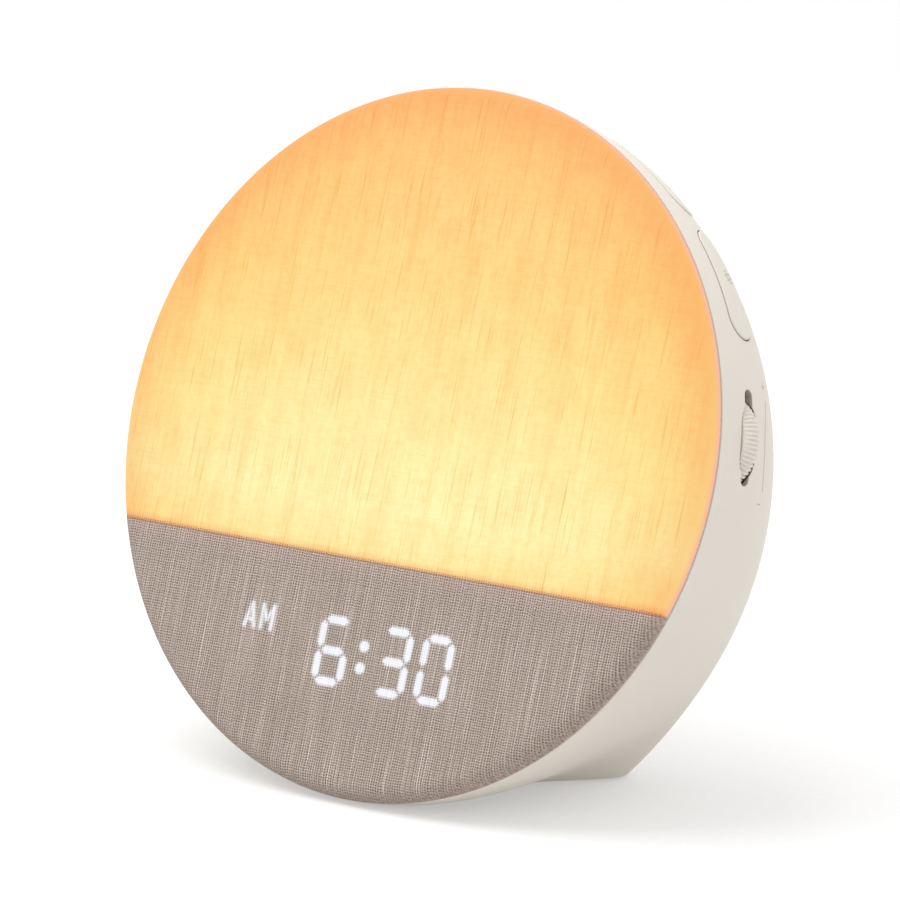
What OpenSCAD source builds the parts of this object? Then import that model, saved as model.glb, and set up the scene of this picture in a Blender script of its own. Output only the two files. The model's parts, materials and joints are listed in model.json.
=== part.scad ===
// Round bedside sunrise alarm clock with a fabric face, a glowing upper field and a
// seven-segment display in the lower field. Millimetres, +Z up, front faces -Y.
// The origin lies on the table, straight below the centre of the face.

/* [Face] */
// Radius of the round face where it meets the body
face_r = 103; // [98:0.5:110]
// Lean of the face back from upright, in degrees
face_tilt = 19.5; // [17:0.5:22]
// Gap between the lowest point of the face and the table
face_gap = 0.9; // [0.8:0.1:1.6]
// Radius of the rounded rim of the face
rim_round = 5; // [4.6:0.2:6]
// Drop from the face centre to the line between light and display
split_drop = 35.6; // [33:0.2:38]
// Thickness of the woven cover
fabric_t = 0.6; // [0.4:0.1:1]
// Thin seam left between the woven cover and the body
seam_gap = 0.4; // [0.2:0.1:0.8]
// Wall of the opal cap that carries the woven cover
cap_t = 1.6; // [1.2:0.1:2]
// Width of the flat rim that is left beside the display window
cap_rim = 5.6; // [5:0.2:7]

/* [Body] */
// Depth of the body's surface law, measured along the face axis
body_depth = 77; // [72:1:82]
// Power that bends the flank inwards behind the seam
flank_power = 1.92; // [1.8:0.02:2.1]
// Power that closes the tail of the body
tail_power = 1.79; // [1.7:0.01:1.9]
// Downward slide of the sections at the full depth
body_drop = 92.4; // [86:0.2:98]
// Power of that slide
drop_power = 3.83; // [3.6:0.01:4.1]
// Extra width of the sections at the full depth, as a ratio
body_widen = 0.30; // [0.24:0.01:0.34]
// Power of that extra width
widen_power = 1.34; // [1.2:0.01:1.5]
// Depth behind the face centre at which the back starts to flatten
back_start = 50; // [48:0.5:52]
// Depth behind the face centre that the back never passes
back_limit = 64; // [62:0.5:68]
// Wall of the body
wall = 2.5; // [2:0.1:3]
// Thickness of the body's flat floor
floor_t = 2.5; // [2.2:0.1:3.2]

/* [Foot and base cover] */
// Thickness of the rubber foot under the floor
foot_t = 0.8; // [0.6:0.1:1.2]
// Half-width of the rubber foot at the front
foot_front = 17; // [14:0.5:18]
// Half-width of the rubber foot at the back
foot_back = 35; // [30:0.5:37]
// Front edge of the rubber foot
foot_y0 = -26; // [-28:0.5:-22]
// Back edge of the rubber foot
foot_y1 = 39; // [34:0.5:41]
// Corner radius of the foot
foot_round = 5; // [3:0.5:6]
// Distance of the base cover's edge inside the foot's edge
cover_inset = 10; // [9:0.5:12]
// Thickness of the base cover
cover_t = 1.5; // [1.2:0.1:1.7]
// Width of the ledge that holds the base cover
cover_ledge = 3; // [2:0.5:3.5]
// Corner radius of the base cover
cover_round = 3; // [2:0.5:4]
// Height of the screw bosses above the base cover
cover_boss_h = 6; // [5:0.5:6]
// Depth of the screw heads' seats in the base cover
cover_sink = 0.5; // [0.3:0.1:0.7]

/* [Light] */
// Thickness of the back pan's floor
pan_t = 2; // [1.6:0.1:2.4]
// Depth of the pan's front surface behind the seam
pan_set = 1.4; // [1.2:0.1:2]
// Gap between the pan and the body's wall
pan_gap = 4.5; // [4:0.1:6]
// Thickness of the pan's upright wall
pan_wall = 1.6; // [1.2:0.1:2]
// Distance of the pan's screws inside the pan's edge
pan_screw_inset = 6.5; // [6:0.5:8]
// Length of the bosses behind the pan
pan_boss_len = 18; // [12:1:20]
// Thickness of the white reflector sheet
reflector_t = 0.4; // [0.3:0.1:0.6]
// Thickness of the clear light guide
guide_t = 3; // [2.4:0.1:3.2]
// Thickness of the bar between light and display
divider_t = 2.4; // [2:0.1:3]
// Number of lamps along the lower edge of the light guide
lamp_count = 24; // [12:1:30]
// Thickness of the lamp strip's board
strip_t = 1; // [0.8:0.1:1.2]
// Height of one lamp above its board
lamp_h = 1.2; // [0.8:0.1:1.4]
// Width of one lamp
lamp_w = 2.8; // [2:0.1:3.2]
// Depth of one lamp along the face axis
lamp_d = 1.6; // [1.2:0.1:2.2]
// Distance of the lamp strip's ends from the pan's wall
strip_end_gap = 3; // [2:0.5:4]

/* [Display] */
// Drop from the face centre to the middle of the digits
digit_drop = 62.4; // [60:0.1:64]
// Distance between the left and right bars of a digit
digit_w = 8.9; // [8:0.1:9.6]
// Distance between the top and bottom bars of a digit
digit_h = 17.75; // [16:0.05:19]
// Distance between neighbouring digits
digit_pitch = 14.6; // [14.2:0.1:15]
// Place of the hours digit, to the left of the face centre
hour_x = -11.3; // [-12:0.1:-11]
// Place of the tens of minutes
tens_x = 10.6; // [10:0.1:11.5]
// Length of one bar
bar_len = 7.6; // [6.6:0.1:7.8]
// Width of one bar
bar_wid = 2.5; // [2:0.1:2.7]
// Diameter of a colon dot
dot_d = 3.2; // [2.6:0.1:3.6]
// Distance between the two colon dots
dot_gap = 6.3; // [5:0.1:7]
// Height of the letters beside the digits
letter_h = 7.2; // [6:0.1:8]
// Width of a letter
letter_w = 4.6; // [4:0.1:5]
// Distance between the middles of the two letters
letter_pitch = 6; // [5.6:0.1:6.4]
// Distance from the first letter to the hours digit
letter_offset = 31; // [30:0.1:32]
// Width of a letter's strokes
letter_stroke_w = 1.1; // [0.9:0.1:1.2]
// Skin of the display panel left in front of the light bars
panel_skin = 0.4; // [0.3:0.1:0.6]
// Width of the display board beyond the digits on each side
board_margin = 6; // [4:0.5:7]
// Thickness of the display board
display_board_t = 1.2; // [1:0.1:1.4]

/* [Dials] */
// Radius of a thumb dial
dial_r = 14.5; // [14:0.1:15]
// Width of a thumb dial
dial_w = 6.6; // [6:0.1:7]
// How much a dial's radius falls from its middle to its faces
dial_crown = 2.4; // [2:0.1:2.8]
// How far a dial stands out of the body
dial_proud = 3; // [2.6:0.05:3.2]
// Height of a dial's centre on the ring, as an angle above level
dial_angle = 9.5; // [9:0.1:10.4]
// Height of the slot's centre on the ring, as an angle above level
slot_angle = 10.1; // [9.6:0.1:10.6]
// Depth of the dial's middle behind the seam
dial_back = 12.6; // [12.2:0.1:13]
// Ridges around a dial
dial_ridges = 68; // [54:1:80]
// Depth of a ridge
ridge_depth = 0.6; // [0.4:0.1:0.8]
// Radius of the dial's shaft
shaft_r = 3; // [2.5:0.1:3.5]
// Gap between a dial and the sides of its slot
slot_gap = 0.5; // [0.4:0.1:0.8]
// Half-length of the slot along the ring
slot_half = 13.6; // [13:0.1:14.6]
// Width of the slot beyond a dial
slot_wid = 4; // [3.6:0.1:4.4]
// Thickness of the bridge behind a dial
bridge_t = 2; // [1.6:0.1:2.6]
// Width of a bridge's square legs
bridge_leg = 7; // [6:0.5:8]
// Width and height of a dial's encoder
encoder_size = 12; // [11:0.5:13]
// Thickness of a dial's encoder
encoder_t = 6; // [5:0.5:7]

/* [Buttons] */
// Length of a button along the ring
button_len = 36; // [34:0.5:37]
// Width of a button from front to back
button_wid = 12.8; // [11:0.1:13.4]
// Depth of the buttons' middle behind the seam
button_back = 15; // [14.8:0.1:16]
// Place of the lower button on the ring, as an angle above level
lower_button_angle = 36.9; // [36.5:0.1:37.5]
// Place of the upper button on the ring, as an angle above level
upper_button_angle = 60.5; // [60.2:0.1:62]
// How far a button's top stands out of the body
button_proud = 0.4; // [0.2:0.1:0.8]
// Gap around a button in its opening
button_gap = 0.35; // [0.25:0.05:0.5]
// Travel of a button
button_travel = 0.8; // [0.5:0.1:1]
// Width and thickness of the lip that keeps a button in
button_lip = 1.4; // [1:0.1:1.6]
// Gap between that lip and the body's wall
lip_gap = 0.7; // [0.6:0.1:0.9]
// Radius of the stem under a button
stem_r = 2.5; // [2:0.1:3]
// Depth of the stem's end below the body's skin
stem_depth = 9; // [8:0.5:10]
// Radius of the plunger under the stem
plunger_r = 1.5; // [1.2:0.1:1.8]
// Length of the plunger
plunger_len = 2; // [1.8:0.1:2.2]
// Width of a button's switch
switch_size = 6; // [5:0.5:7]
// Height of a button's switch
switch_h = 3.4; // [3.2:0.1:4]
// Length of a button's board and carrier along the ring
carrier_len = 20; // [16:1:22]
// Width of a button's board and carrier from front to back
carrier_wid = 12; // [10:0.5:14]
// Thickness of the carrier under a button's board
carrier_t = 3; // [2.5:0.1:4]
// Thickness of a button bracket's upright plate
bracket_t = 4; // [3:0.5:5]
// Reach of a button bracket's foot inside its upright plate
bracket_foot = 12; // [10:0.5:14]
// How far a button bracket's upright plate runs into its carrier
bracket_bite = 0.8; // [0.6:0.1:1]

/* [Speaker] */
// Height of the speaker's middle above the table
speaker_z = 66; // [62:1:70]
// Radius of the perforated grille
grille_r = 27; // [24:0.5:28]
// Thickness of the grille
grille_t = 1.5; // [1.2:0.1:1.8]
// Depth of the grille's face below the body's skin
grille_set = 1.2; // [1:0.1:1.4]
// Diameter of a grille hole
grille_hole = 2.4; // [1.6:0.1:2.6]
// Distance between grille holes
grille_pitch = 5; // [4.5:0.1:6]
// Wall of the collar that carries the speaker
collar_wall = 3; // [2.8:0.1:4]
// Depth of the collar's end below the body's skin
collar_depth = 9; // [8:0.5:11]
// Width of the ledge that carries the grille
grille_ledge = 2; // [1.5:0.1:2.5]
// Radius of the speaker's magnet
magnet_r = 15; // [13:0.5:17]
// Thickness of the speaker's magnet
magnet_t = 9; // [7:0.5:11]
// Depth of the speaker's basket
basket_depth = 15; // [13:0.5:17]
// Thickness of the basket's flange
flange_t = 1.5; // [1.2:0.1:2]
// Thickness of the basket's sheet
basket_t = 1; // [0.8:0.1:1.2]
// Width of the rubber surround
surround_w = 5.5; // [4.5:0.5:6.5]
// Radius of the speaker's dome
dome_r = 6; // [5:0.5:7]

/* [Power inlet and board] */
// Radius of the inlet's bore
inlet_r = 2.8; // [2.6:0.05:3]
// Depth of the inlet's bore
inlet_len = 9; // [8:0.5:10]
// Distance of the inlet's middle inside the main board's right edge
inlet_inset = 9; // [8:0.5:14]
// Depth of the inlet's mouth below the body's skin
inlet_set = 4.5; // [4.2:0.1:5]
// Radius of the hole in the body around the inlet
inlet_hole_r = 5; // [4.5:0.1:5.4]
// Width of the inlet's body
inlet_w = 9; // [8:0.5:10]
// Height of the inlet's body
inlet_h = 11; // [10:0.5:12]
// Length of the inlet's body
inlet_body_len = 14; // [12:0.5:16]
// Width of the main board
board_w = 66; // [60:1:70]
// Front edge of the main board
board_y0 = -12; // [-16:0.5:-8]
// Back edge of the main board
board_y1 = 36; // [34:0.5:38]
// Thickness of the main board
board_t = 1.6; // [1.2:0.1:2]
// Height of the main board above the floor
board_lift = 6; // [5:0.5:7]
// Distance of the main board's screws inside its sides and its front edge
board_spot_inset = 5; // [4:0.5:6]
// Distance of the main board's back screws in front of its back edge
board_spot_back = 14; // [12:0.5:16]
// Gap between neighbouring parts on the main board
chip_gap = 2; // [1.5:0.5:3]
// Width of the shielded radio module
radio_w = 18; // [16:1:19]
// Length of the radio module from front to back
radio_len = 23; // [18:1:24]
// Height of the radio module
radio_h = 3; // [2:0.5:4]
// Side of the processor
processor_w = 12; // [10:1:13]
// Thickness of the processor
processor_h = 1.2; // [1:0.1:1.6]
// Diameter of a capacitor
capacitor_d = 6.5; // [5:0.5:7]
// Height of a capacitor
capacitor_h = 10; // [8:1:12]
// Width of a cable socket
socket_w = 11; // [8:1:12]
// Depth of a cable socket from front to back
socket_d = 5; // [4:0.5:6]
// Height of a cable socket
socket_h = 6; // [5:0.5:7]

/* [Fits] */
// Radial clearance of a shaft in its bearing
shaft_gap = 0.05; // [0.02:0.01:0.08]
// Radial clearance of a screw in its boss
screw_gap = 0.05; // [0.02:0.01:0.08]
// Clearance between loose fitted pieces
fit_gap = 0.3; // [0.2:0.05:0.4]
// Thickness of the glue line between bonded pieces
glue_gap = 0.05; // [0.02:0.01:0.1]
// Radius of a screw's shank
screw_r = 1.3; // [1.2:0.1:1.5]
// Radius of a screw's head
screw_head_r = 2.6; // [2.2:0.1:2.8]
// Height of a screw's head
screw_head_h = 1.2; // [1:0.1:1.3]
// Wall of a screw boss
boss_wall = 1.7; // [1.4:0.1:2.2]
// Radius of the speaker's screws
speaker_screw_r = 0.8; // [0.7:0.1:0.9]
// Height of the flat heads under the base and behind the speaker
low_head_h = 0.9; // [0.8:0.1:1]

/* [Hidden] */

$fn = 64;
small_fn = 32;
rim_fn = 144;
far = 400;
through = 40;
spill = 1;

putty = "#e2dbd0";
opal = "#f4efe6";
dark = "#2b2b2d";
board_green = "#2f5d3c";
steel = "#c9c9c9";

face_z = face_r * cos(face_tilt) + face_gap;
face_centre = [0, 0, face_z];
face_normal = [0, -cos(face_tilt), sin(face_tilt)];
face_up = [0, sin(face_tilt), cos(face_tilt)];

// ---------------------------------------------------------------- body surface

function unit(v) = v / norm(v);

// A depth that runs freely up to `from` and then bends softly towards `limit`
function soften(y, from, limit) =
  y <= from ? y :
  let (reach = limit - from, e = exp(2 * (y - from) / reach))
  from + reach * (e - 1) / (e + 1);

// The body is made of sections parallel to the face. With t from 0 at the seam to 1 at
// the tail, they shrink, slide down and grow wider; inset moves the surface inwards.
function section_r(t, inset) = (face_r - inset) * pow(1 - pow(t, flank_power), 1 / tail_power);
function section_wide(t) = 1 + body_widen * pow(t, widen_power);
function section_centre(t, inset) =
  face_centre - (body_depth - inset) * t * face_normal - body_drop * pow(t, drop_power) * face_up;

// Point of the body's surface; a goes round the face from +X towards its top
function body_point(t, a, inset) =
  let (r = section_r(t, inset),
       p = section_centre(t, inset) + [r * section_wide(t) * cos(a), 0, 0] + r * sin(a) * face_up)
  [p.x, soften(p.y, back_start - inset, back_limit - inset), p.z];

// Distance of the body's surface from the face axis
function ring_radius(back, a, inset) =
  let (t = back / body_depth, p = body_point(t, a, inset) - face_centre)
  norm(p + (body_depth - inset) * t * face_normal);

// Point of the back at a place x across and z above the table, found by halving
function back_point(x, z, t0 = 0.4, t1 = 1, n = 30) =
  let (t = (t0 + t1) / 2,
       p = body_point(t, acos(min(1, x / (section_r(t, 0) * section_wide(t)))), 0))
  n == 0 ? p : p.z > z ? back_point(x, z, t, t1, n - 1) : back_point(x, z, t0, t, n - 1);

// Closed solid bounded by that surface; nose pushes its front cap past the seam
module body_solid(inset, sides, rings, nose) {
  step = 360 / sides;
  depths = [for (i = [0 : rings - 1]) sin(90 * i / rings)];
  rows = concat(
    [[for (j = [0 : sides - 1]) body_point(0, j * step, inset) + nose * face_normal]],
    [for (t = depths) if (t > 0 || nose > 0) [for (j = [0 : sides - 1]) body_point(t, j * step, inset)]]);
  last = len(rows) - 1;
  tail = len(rows) * sides;
  points = concat([for (row = rows) each row], [body_point(1, 0, inset)]);
  faces = concat(
    [[for (j = [sides - 1 : -1 : 0]) j]],
    [for (i = [0 : last - 1], j = [0 : sides - 1]) let (k = (j + 1) % sides)
       [i * sides + j, i * sides + k, (i + 1) * sides + k]],
    [for (i = [0 : last - 1], j = [0 : sides - 1]) let (k = (j + 1) % sides)
       [i * sides + j, (i + 1) * sides + k, (i + 1) * sides + j]],
    [for (j = [0 : sides - 1]) [last * sides + j, last * sides + (j + 1) % sides, tail]]);
  polyhedron(points, faces, convexity = 4);
}

// Closed patch of wall between two insets, around one place on the ring
module wall_patch(back, a, half_back, half_a, outer, inner, nt = 8, na = 10) {
  ts = [for (i = [0 : nt]) (back + half_back * (2 * i / nt - 1)) / body_depth];
  angles = [for (j = [0 : na]) a + half_a * (2 * j / na - 1)];
  cols = na + 1;
  count = (nt + 1) * cols;
  points = concat([for (t = ts, b = angles) body_point(t, b, outer)],
                  [for (t = ts, b = angles) body_point(t, b, inner)]);
  faces = concat(
    [for (i = [0 : nt - 1], j = [0 : na - 1]) let (p = i * cols + j)
       each [[p, p + 1, p + 1 + cols], [p, p + 1 + cols, p + cols]]],
    [for (i = [0 : nt - 1], j = [0 : na - 1]) let (p = count + i * cols + j)
       each [[p, p + 1 + cols, p + 1], [p, p + cols, p + 1 + cols]]],
    [for (i = [0 : nt - 1], j = [0, na]) let (p = i * cols + j, q = p + cols)
       each j == 0 ? [[p, q, q + count], [p, q + count, p + count]]
                   : [[p, q + count, q], [p, p + count, q + count]]],
    [for (j = [0 : na - 1], i = [0, nt]) let (p = i * cols + j, q = p + 1)
       each i == 0 ? [[p, q + count, q], [p, p + count, q + count]]
                   : [[p, q, q + count], [p, q + count, p + count]]]);
  polyhedron(points, faces, convexity = 4);
}

// ---------------------------------------------------------------- shared shapes

// Outline around a convex core, counter-clockwise, grown by r with round corners
function grown(core, r, steps = 8) =
  let (n = len(core))
  [for (i = [0 : n - 1])
     let (before = core[i] - core[(i + n - 1) % n], after = core[(i + 1) % n] - core[i],
          a0 = atan2(-before.x, before.y), a1 = atan2(-after.x, after.y),
          sweep = (a1 - a0 + 720) % 360)
     for (k = [0 : steps]) core[i] + r * [cos(a0 + sweep * k / steps), sin(a0 + sweep * k / steps)]];

function pill(len, wid) = grown([[-(len - wid) / 2, 0], [(len - wid) / 2, 0]], wid / 2, 12);

// Quarter arc in a profile, as points from angle a0 to angle a1
function arc(centre, r, a0, a1, steps = 8) =
  [for (k = [0 : steps]) centre + r * [cos(a0 + (a1 - a0) * k / steps), sin(a0 + (a1 - a0) * k / steps)]];

// Slab from z0 to z1
module slab(z0, z1) translate([-far / 2, -far / 2, z0]) cube([far, far, z1 - z0]);

// Face frame: x to the right, y up the face, z out of the face, zero at the seam
module on_face() translate(face_centre) rotate([90 - face_tilt, 0, 0]) children();

// Everything in the face frame above a drop below the face centre
module above(drop) translate([-far / 2, -drop, -far / 2]) cube([far, far, far]);

// Everything in the face frame below a drop below the face centre
module below(drop) translate([-far / 2, -drop - far, -far / 2]) cube([far, far, far]);

// Frame on the body's skin: z along the outward normal, x along the ring
module on_skin(back, a) {
  t = back / body_depth;
  dt = 0.002;
  da = 0.2;
  along = body_point(t, a + da, 0) - body_point(t, a - da, 0);
  out = unit(cross(body_point(t + dt, a, 0) - body_point(t - dt, a, 0), along));
  x = unit(along);
  y = cross(out, x);
  p = body_point(t, a, 0);
  multmatrix([[x.x, y.x, out.x, p.x], [x.y, y.y, out.y, p.y], [x.z, y.z, out.z, p.z], [0, 0, 0, 1]])
    children();
}

// Pan-head screw: head on top of z = 0, shank below it
module screw(shank_r, len, head_r, head_h) {
  translate([0, 0, -len]) cylinder(r = shank_r, h = len + head_h / 2, $fn = small_fn);
  difference() {
    cylinder(r = head_r, h = head_h, $fn = small_fn);
    for (turn = [0, 90]) rotate(turn)
      translate([-head_r * 0.6, -head_h * 0.2, head_h * 0.5])
        cube([head_r * 1.2, head_h * 0.4, head_h]);
  }
}

// ---------------------------------------------------------------- places

boss_r = screw_r + boss_wall;
tap_r = screw_r + screw_gap;
pass_r = screw_r + fit_gap;

cap_r = face_r - fabric_t - glue_gap;
cap_h = rim_round - fabric_t - glue_gap;
window_r = cap_r - cap_rim + glue_gap;
divider_z1 = cap_h - cap_t;
window_drop = split_drop + divider_t / 2;
panel_gap = fit_gap / 2;

pan_r = face_r - pan_gap;
pan_front = -pan_set;
pan_back = pan_front - pan_t;
pan_inner = pan_r - pan_wall;
pan_top = divider_z1 - 2 * fit_gap;
chamber_r = pan_inner - fit_gap;
guide_z0 = pan_front + reflector_t;
guide_drop = split_drop - strip_t - lamp_h - fit_gap;

pan_boss_angles = [90, 135, 200, 245, 295, 340];
pan_boss_ring = pan_r - pan_screw_inset;
pan_screw_len = 10;
cable_slot = [18, 6];

shell_z0 = foot_t;
floor_z = shell_z0 + floor_t;

foot_core = [[-(foot_front - foot_round), foot_y0 + foot_round],
             [foot_front - foot_round, foot_y0 + foot_round],
             [foot_back - foot_round, foot_y1 - foot_round],
             [-(foot_back - foot_round), foot_y1 - foot_round]];
function inside_foot(inset) =
  let (front = foot_front - inset, back = foot_back - inset - foot_round)
  [[-front, foot_y0 + inset], [front, foot_y0 + inset], [back, foot_y1 - inset], [-back, foot_y1 - inset]];
cover_spots = inside_foot(cover_inset);
cover_screw_len = cover_boss_h - spill;
cover_boss_z0 = shell_z0 + cover_t;

dial_ring = ring_radius(dial_back, dial_angle, 0) + dial_proud - dial_r;
bridge_z1 = -dial_back - dial_w / 2 - 3 * fit_gap;
bridge_z0 = bridge_z1 - bridge_t;
bridge_reach = dial_r + bridge_leg / 2 + 2 * fit_gap;
bearing_len = 3;
shaft_front = pan_back - glue_gap;
shaft_back = bridge_z0 - encoder_t + 1;

lip_top = wall + lip_gap;
lip_end = lip_top + button_lip;
plunger_end = stem_depth + plunger_len;
switch_top = stem_depth + button_travel + fit_gap;
button_board_t = 1.2;
button_board_top = switch_top + switch_h;
carrier_top = button_board_top + button_board_t;
carrier_end = carrier_top + carrier_t;
bracket_foot_t = 2;
function bracket_ring(a) = ring_radius(button_back, a, 0) - carrier_end - bracket_t + bracket_bite;

speaker_y = back_point(0, speaker_z).y;
speaker_rise = back_point(0, speaker_z + grille_r).y - back_point(0, speaker_z - grille_r).y;
speaker_lean = atan(speaker_rise / (2 * grille_r));
seat_r = grille_r + fit_gap;
collar_r = seat_r + collar_wall;
collar_top = -0.75 * wall;
collar_z0 = -collar_depth;
grille_z0 = -grille_set - grille_t;
horn_r = seat_r - grille_ledge;
speaker_screw_ring = collar_r - collar_wall / 2;

board_z0 = floor_z + board_lift;
board_z1 = board_z0 + board_t;
board_spot_x = board_w / 2 - board_spot_inset;
board_spot_ys = [board_y0 + board_spot_inset, board_y1 - board_spot_back];
board_spots = [for (x = [-board_spot_x, board_spot_x], y = board_spot_ys) [x, y]];
inlet_x = board_w / 2 - inlet_inset;
inlet_z = board_z1 + inlet_h / 2;
inlet_y = back_point(inlet_x, inlet_z).y - inlet_set;

// ---------------------------------------------------------------- body and base

// Body shell: flat floor, bosses and speaker collar inside, all its openings cut through
module rear_shell() color(putty) {
  difference() {
    union() {
      shell_wall();
      for (p = cover_spots) translate([p.x, p.y, cover_boss_z0]) post(cover_boss_h);
      for (p = board_spots) translate([p.x, p.y, floor_z - glue_gap]) post(board_lift + glue_gap);
    }
    for (p = cover_spots) translate([p.x, p.y, cover_boss_z0 - spill]) tap(cover_boss_h + spill);
    for (p = board_spots) translate([p.x, p.y, floor_z]) tap(board_lift);
  }
  pan_bosses();
}

// Wall, floor and speaker collar, with all their openings
module shell_wall() difference() {
  union() {
    difference() {
      body_solid(0, 72, 18, 0);
      intersection() {
        body_solid(wall, 60, 15, spill);
        slab(floor_z, far);
      }
      slab(-far, shell_z0);
    }
    on_back() translate([0, 0, collar_z0]) cylinder(r = collar_r, h = collar_top - collar_z0);
  }
  at_buttons() translate([0, 0, -through / 2]) linear_extrude(through)
    polygon(pill(button_len, button_wid));
  for (side = [0, 1]) dial_slot(side);
  speaker_openings();
  translate([inlet_x, inlet_y, inlet_z]) rotate([-90, 0, 0])
    cylinder(r = inlet_hole_r, h = through, $fn = small_fn);
  base_opening();
}

// Round post of a boss, standing on z = 0
module post(h) cylinder(r = boss_r, h = h, $fn = small_fn);

// Hole for a screw's thread, from z = 0 up
module tap(h) cylinder(r = tap_r, h = h + spill, $fn = small_fn);

// Slot past both ends of a dial, and the room that the dial turns in, which opens the skin around it
module dial_slot(side) {
  on_face() mirror([side, 0, 0]) rotate(slot_angle) translate([dial_ring, 0, -dial_back])
    rotate([90, 0, 90]) linear_extrude(through) polygon(pill(2 * slot_half, slot_wid));
  at_dial(side) translate([0, 0, -dial_back])
    crowned_disc(dial_r + slot_gap, dial_w + 2 * slot_gap, rim_fn);
}

// Seat of the grille, mouth of the collar and the holes of the speaker's screws
module speaker_openings() on_back() {
  translate([0, 0, grille_z0]) cylinder(r = seat_r, h = through);
  translate([0, 0, collar_z0 - spill]) cylinder(r = horn_r, h = through);
  at_speaker_screws() translate([0, 0, collar_z0 - spill])
    cylinder(r = speaker_screw_r + screw_gap, h = speaker_grip + 2 * spill, $fn = small_fn);
}

// Recess for the base cover with an opening inside its ledge
module base_opening() translate([0, 0, shell_z0 - spill]) {
  linear_extrude(cover_t + spill) polygon(grown(cover_spots, cover_round + fit_gap));
  linear_extrude(floor_t + 2 * spill) polygon(grown(inside_foot(cover_inset + cover_ledge), cover_round));
}

// Screw bosses behind the pan, each with a web to the wall
module pan_bosses() on_face() for (a = pan_boss_angles) rotate(a) {
  web_t = 2;
  web_h = 8;
  web_middle = pan_boss_len * 0.5;
  reach = ring_radius(web_middle - pan_back, a, wall / 2) - pan_boss_ring - boss_r + glue_gap;
  translate([pan_boss_ring, 0, pan_back - pan_boss_len]) difference() {
    post(pan_boss_len);
    translate([0, 0, -spill]) tap(pan_boss_len + spill);
  }
  translate([pan_boss_ring + boss_r - glue_gap, -web_t / 2, pan_back - web_middle - web_h / 2])
    cube([reach, web_t, web_h]);
}

module base_cover() color(putty) difference() {
  translate([0, 0, shell_z0]) linear_extrude(cover_t) polygon(grown(cover_spots, cover_round));
  for (p = cover_spots) translate([p.x, p.y, shell_z0 - spill]) {
    cylinder(r = pass_r, h = through, $fn = small_fn);
    cylinder(r = screw_head_r + fit_gap, h = cover_sink + spill, $fn = small_fn);
  }
}

module cover_screws() color("silver")
  for (p = cover_spots) translate([p.x, p.y, shell_z0 + cover_sink]) mirror([0, 0, 1])
    screw(screw_r, cover_screw_len, screw_head_r, low_head_h);

module foot_pad() color("#8d8a84") difference() {
  linear_extrude(foot_t) polygon(grown(foot_core, foot_round));
  for (p = cover_spots) translate([p.x, p.y, -spill])
    cylinder(r = screw_head_r + 2 * fit_gap, h = through, $fn = small_fn);
}

// ---------------------------------------------------------------- face and light

// Woven cover: flat front with a rounded rim, open towards the body
module face_fabric() color("#b8a99a") on_face() rotate_extrude($fn = rim_fn) polygon(concat(
  arc([face_r - rim_round, 0], rim_round, asin(seam_gap / rim_round), 90),
  [[0, rim_round], [0, rim_round - fabric_t]],
  arc([face_r - rim_round, 0], rim_round - fabric_t, 90, asin(seam_gap / (rim_round - fabric_t)))));

// Opal cap under the cover, cut away where the display panel sits
module diffuser_cap() color(opal) on_face() difference() {
  rotate_extrude($fn = rim_fn) polygon(concat(
    arc([cap_r - cap_h, 0], cap_h, 0, 90),
    [[0, cap_h], [0, cap_h - cap_t]],
    arc([cap_r - cap_h, 0], cap_h - cap_t, 90, 0)));
  intersection() {
    cylinder(r = window_r, h = far);
    below(window_drop);
  }
}

module display_panel() color("#6f665d") on_face() difference() {
  intersection() {
    translate([0, 0, divider_z1]) cylinder(r = window_r - panel_gap, h = cap_t);
    below(window_drop + panel_gap);
  }
  translate([0, 0, divider_z1 - spill]) linear_extrude(cap_t - panel_skin + spill)
    segment_shapes(panel_gap);
}

module light_guide() color([0.93, 0.95, 0.96, 0.6]) on_face() intersection() {
  translate([0, 0, guide_z0]) cylinder(r = chamber_r, h = guide_t);
  above(guide_drop);
}

module reflector_sheet() color("white") on_face() intersection() {
  translate([0, 0, pan_front]) cylinder(r = chamber_r, h = reflector_t);
  above(split_drop - glue_gap);
}

// Bar that keeps the lamp light out of the display field
module light_divider() color("#f2f2ef") on_face() {
  half = sqrt(pow(chamber_r, 2) - pow(split_drop + divider_t, 2));
  translate([-half, -split_drop - divider_t, pan_front]) cube([2 * half, divider_t, divider_z1 - pan_front]);
}

strip_half = sqrt(pow(chamber_r, 2) - pow(split_drop, 2)) - strip_end_gap;

module strip_board() color("white") on_face()
  translate([-strip_half, -split_drop, guide_z0]) cube([2 * strip_half, strip_t, guide_t]);

module strip_lamps() color("#f6e7a6") on_face() {
  span = 2 * strip_half - lamp_w - 2 * strip_end_gap;
  z = guide_z0 + (guide_t - lamp_d) / 2;
  for (i = [0 : lamp_count - 1])
    translate([(i / (lamp_count - 1) - 0.5) * span - lamp_w / 2, strip_t - split_drop, z])
      cube([lamp_w, lamp_h, lamp_d]);
}

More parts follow.
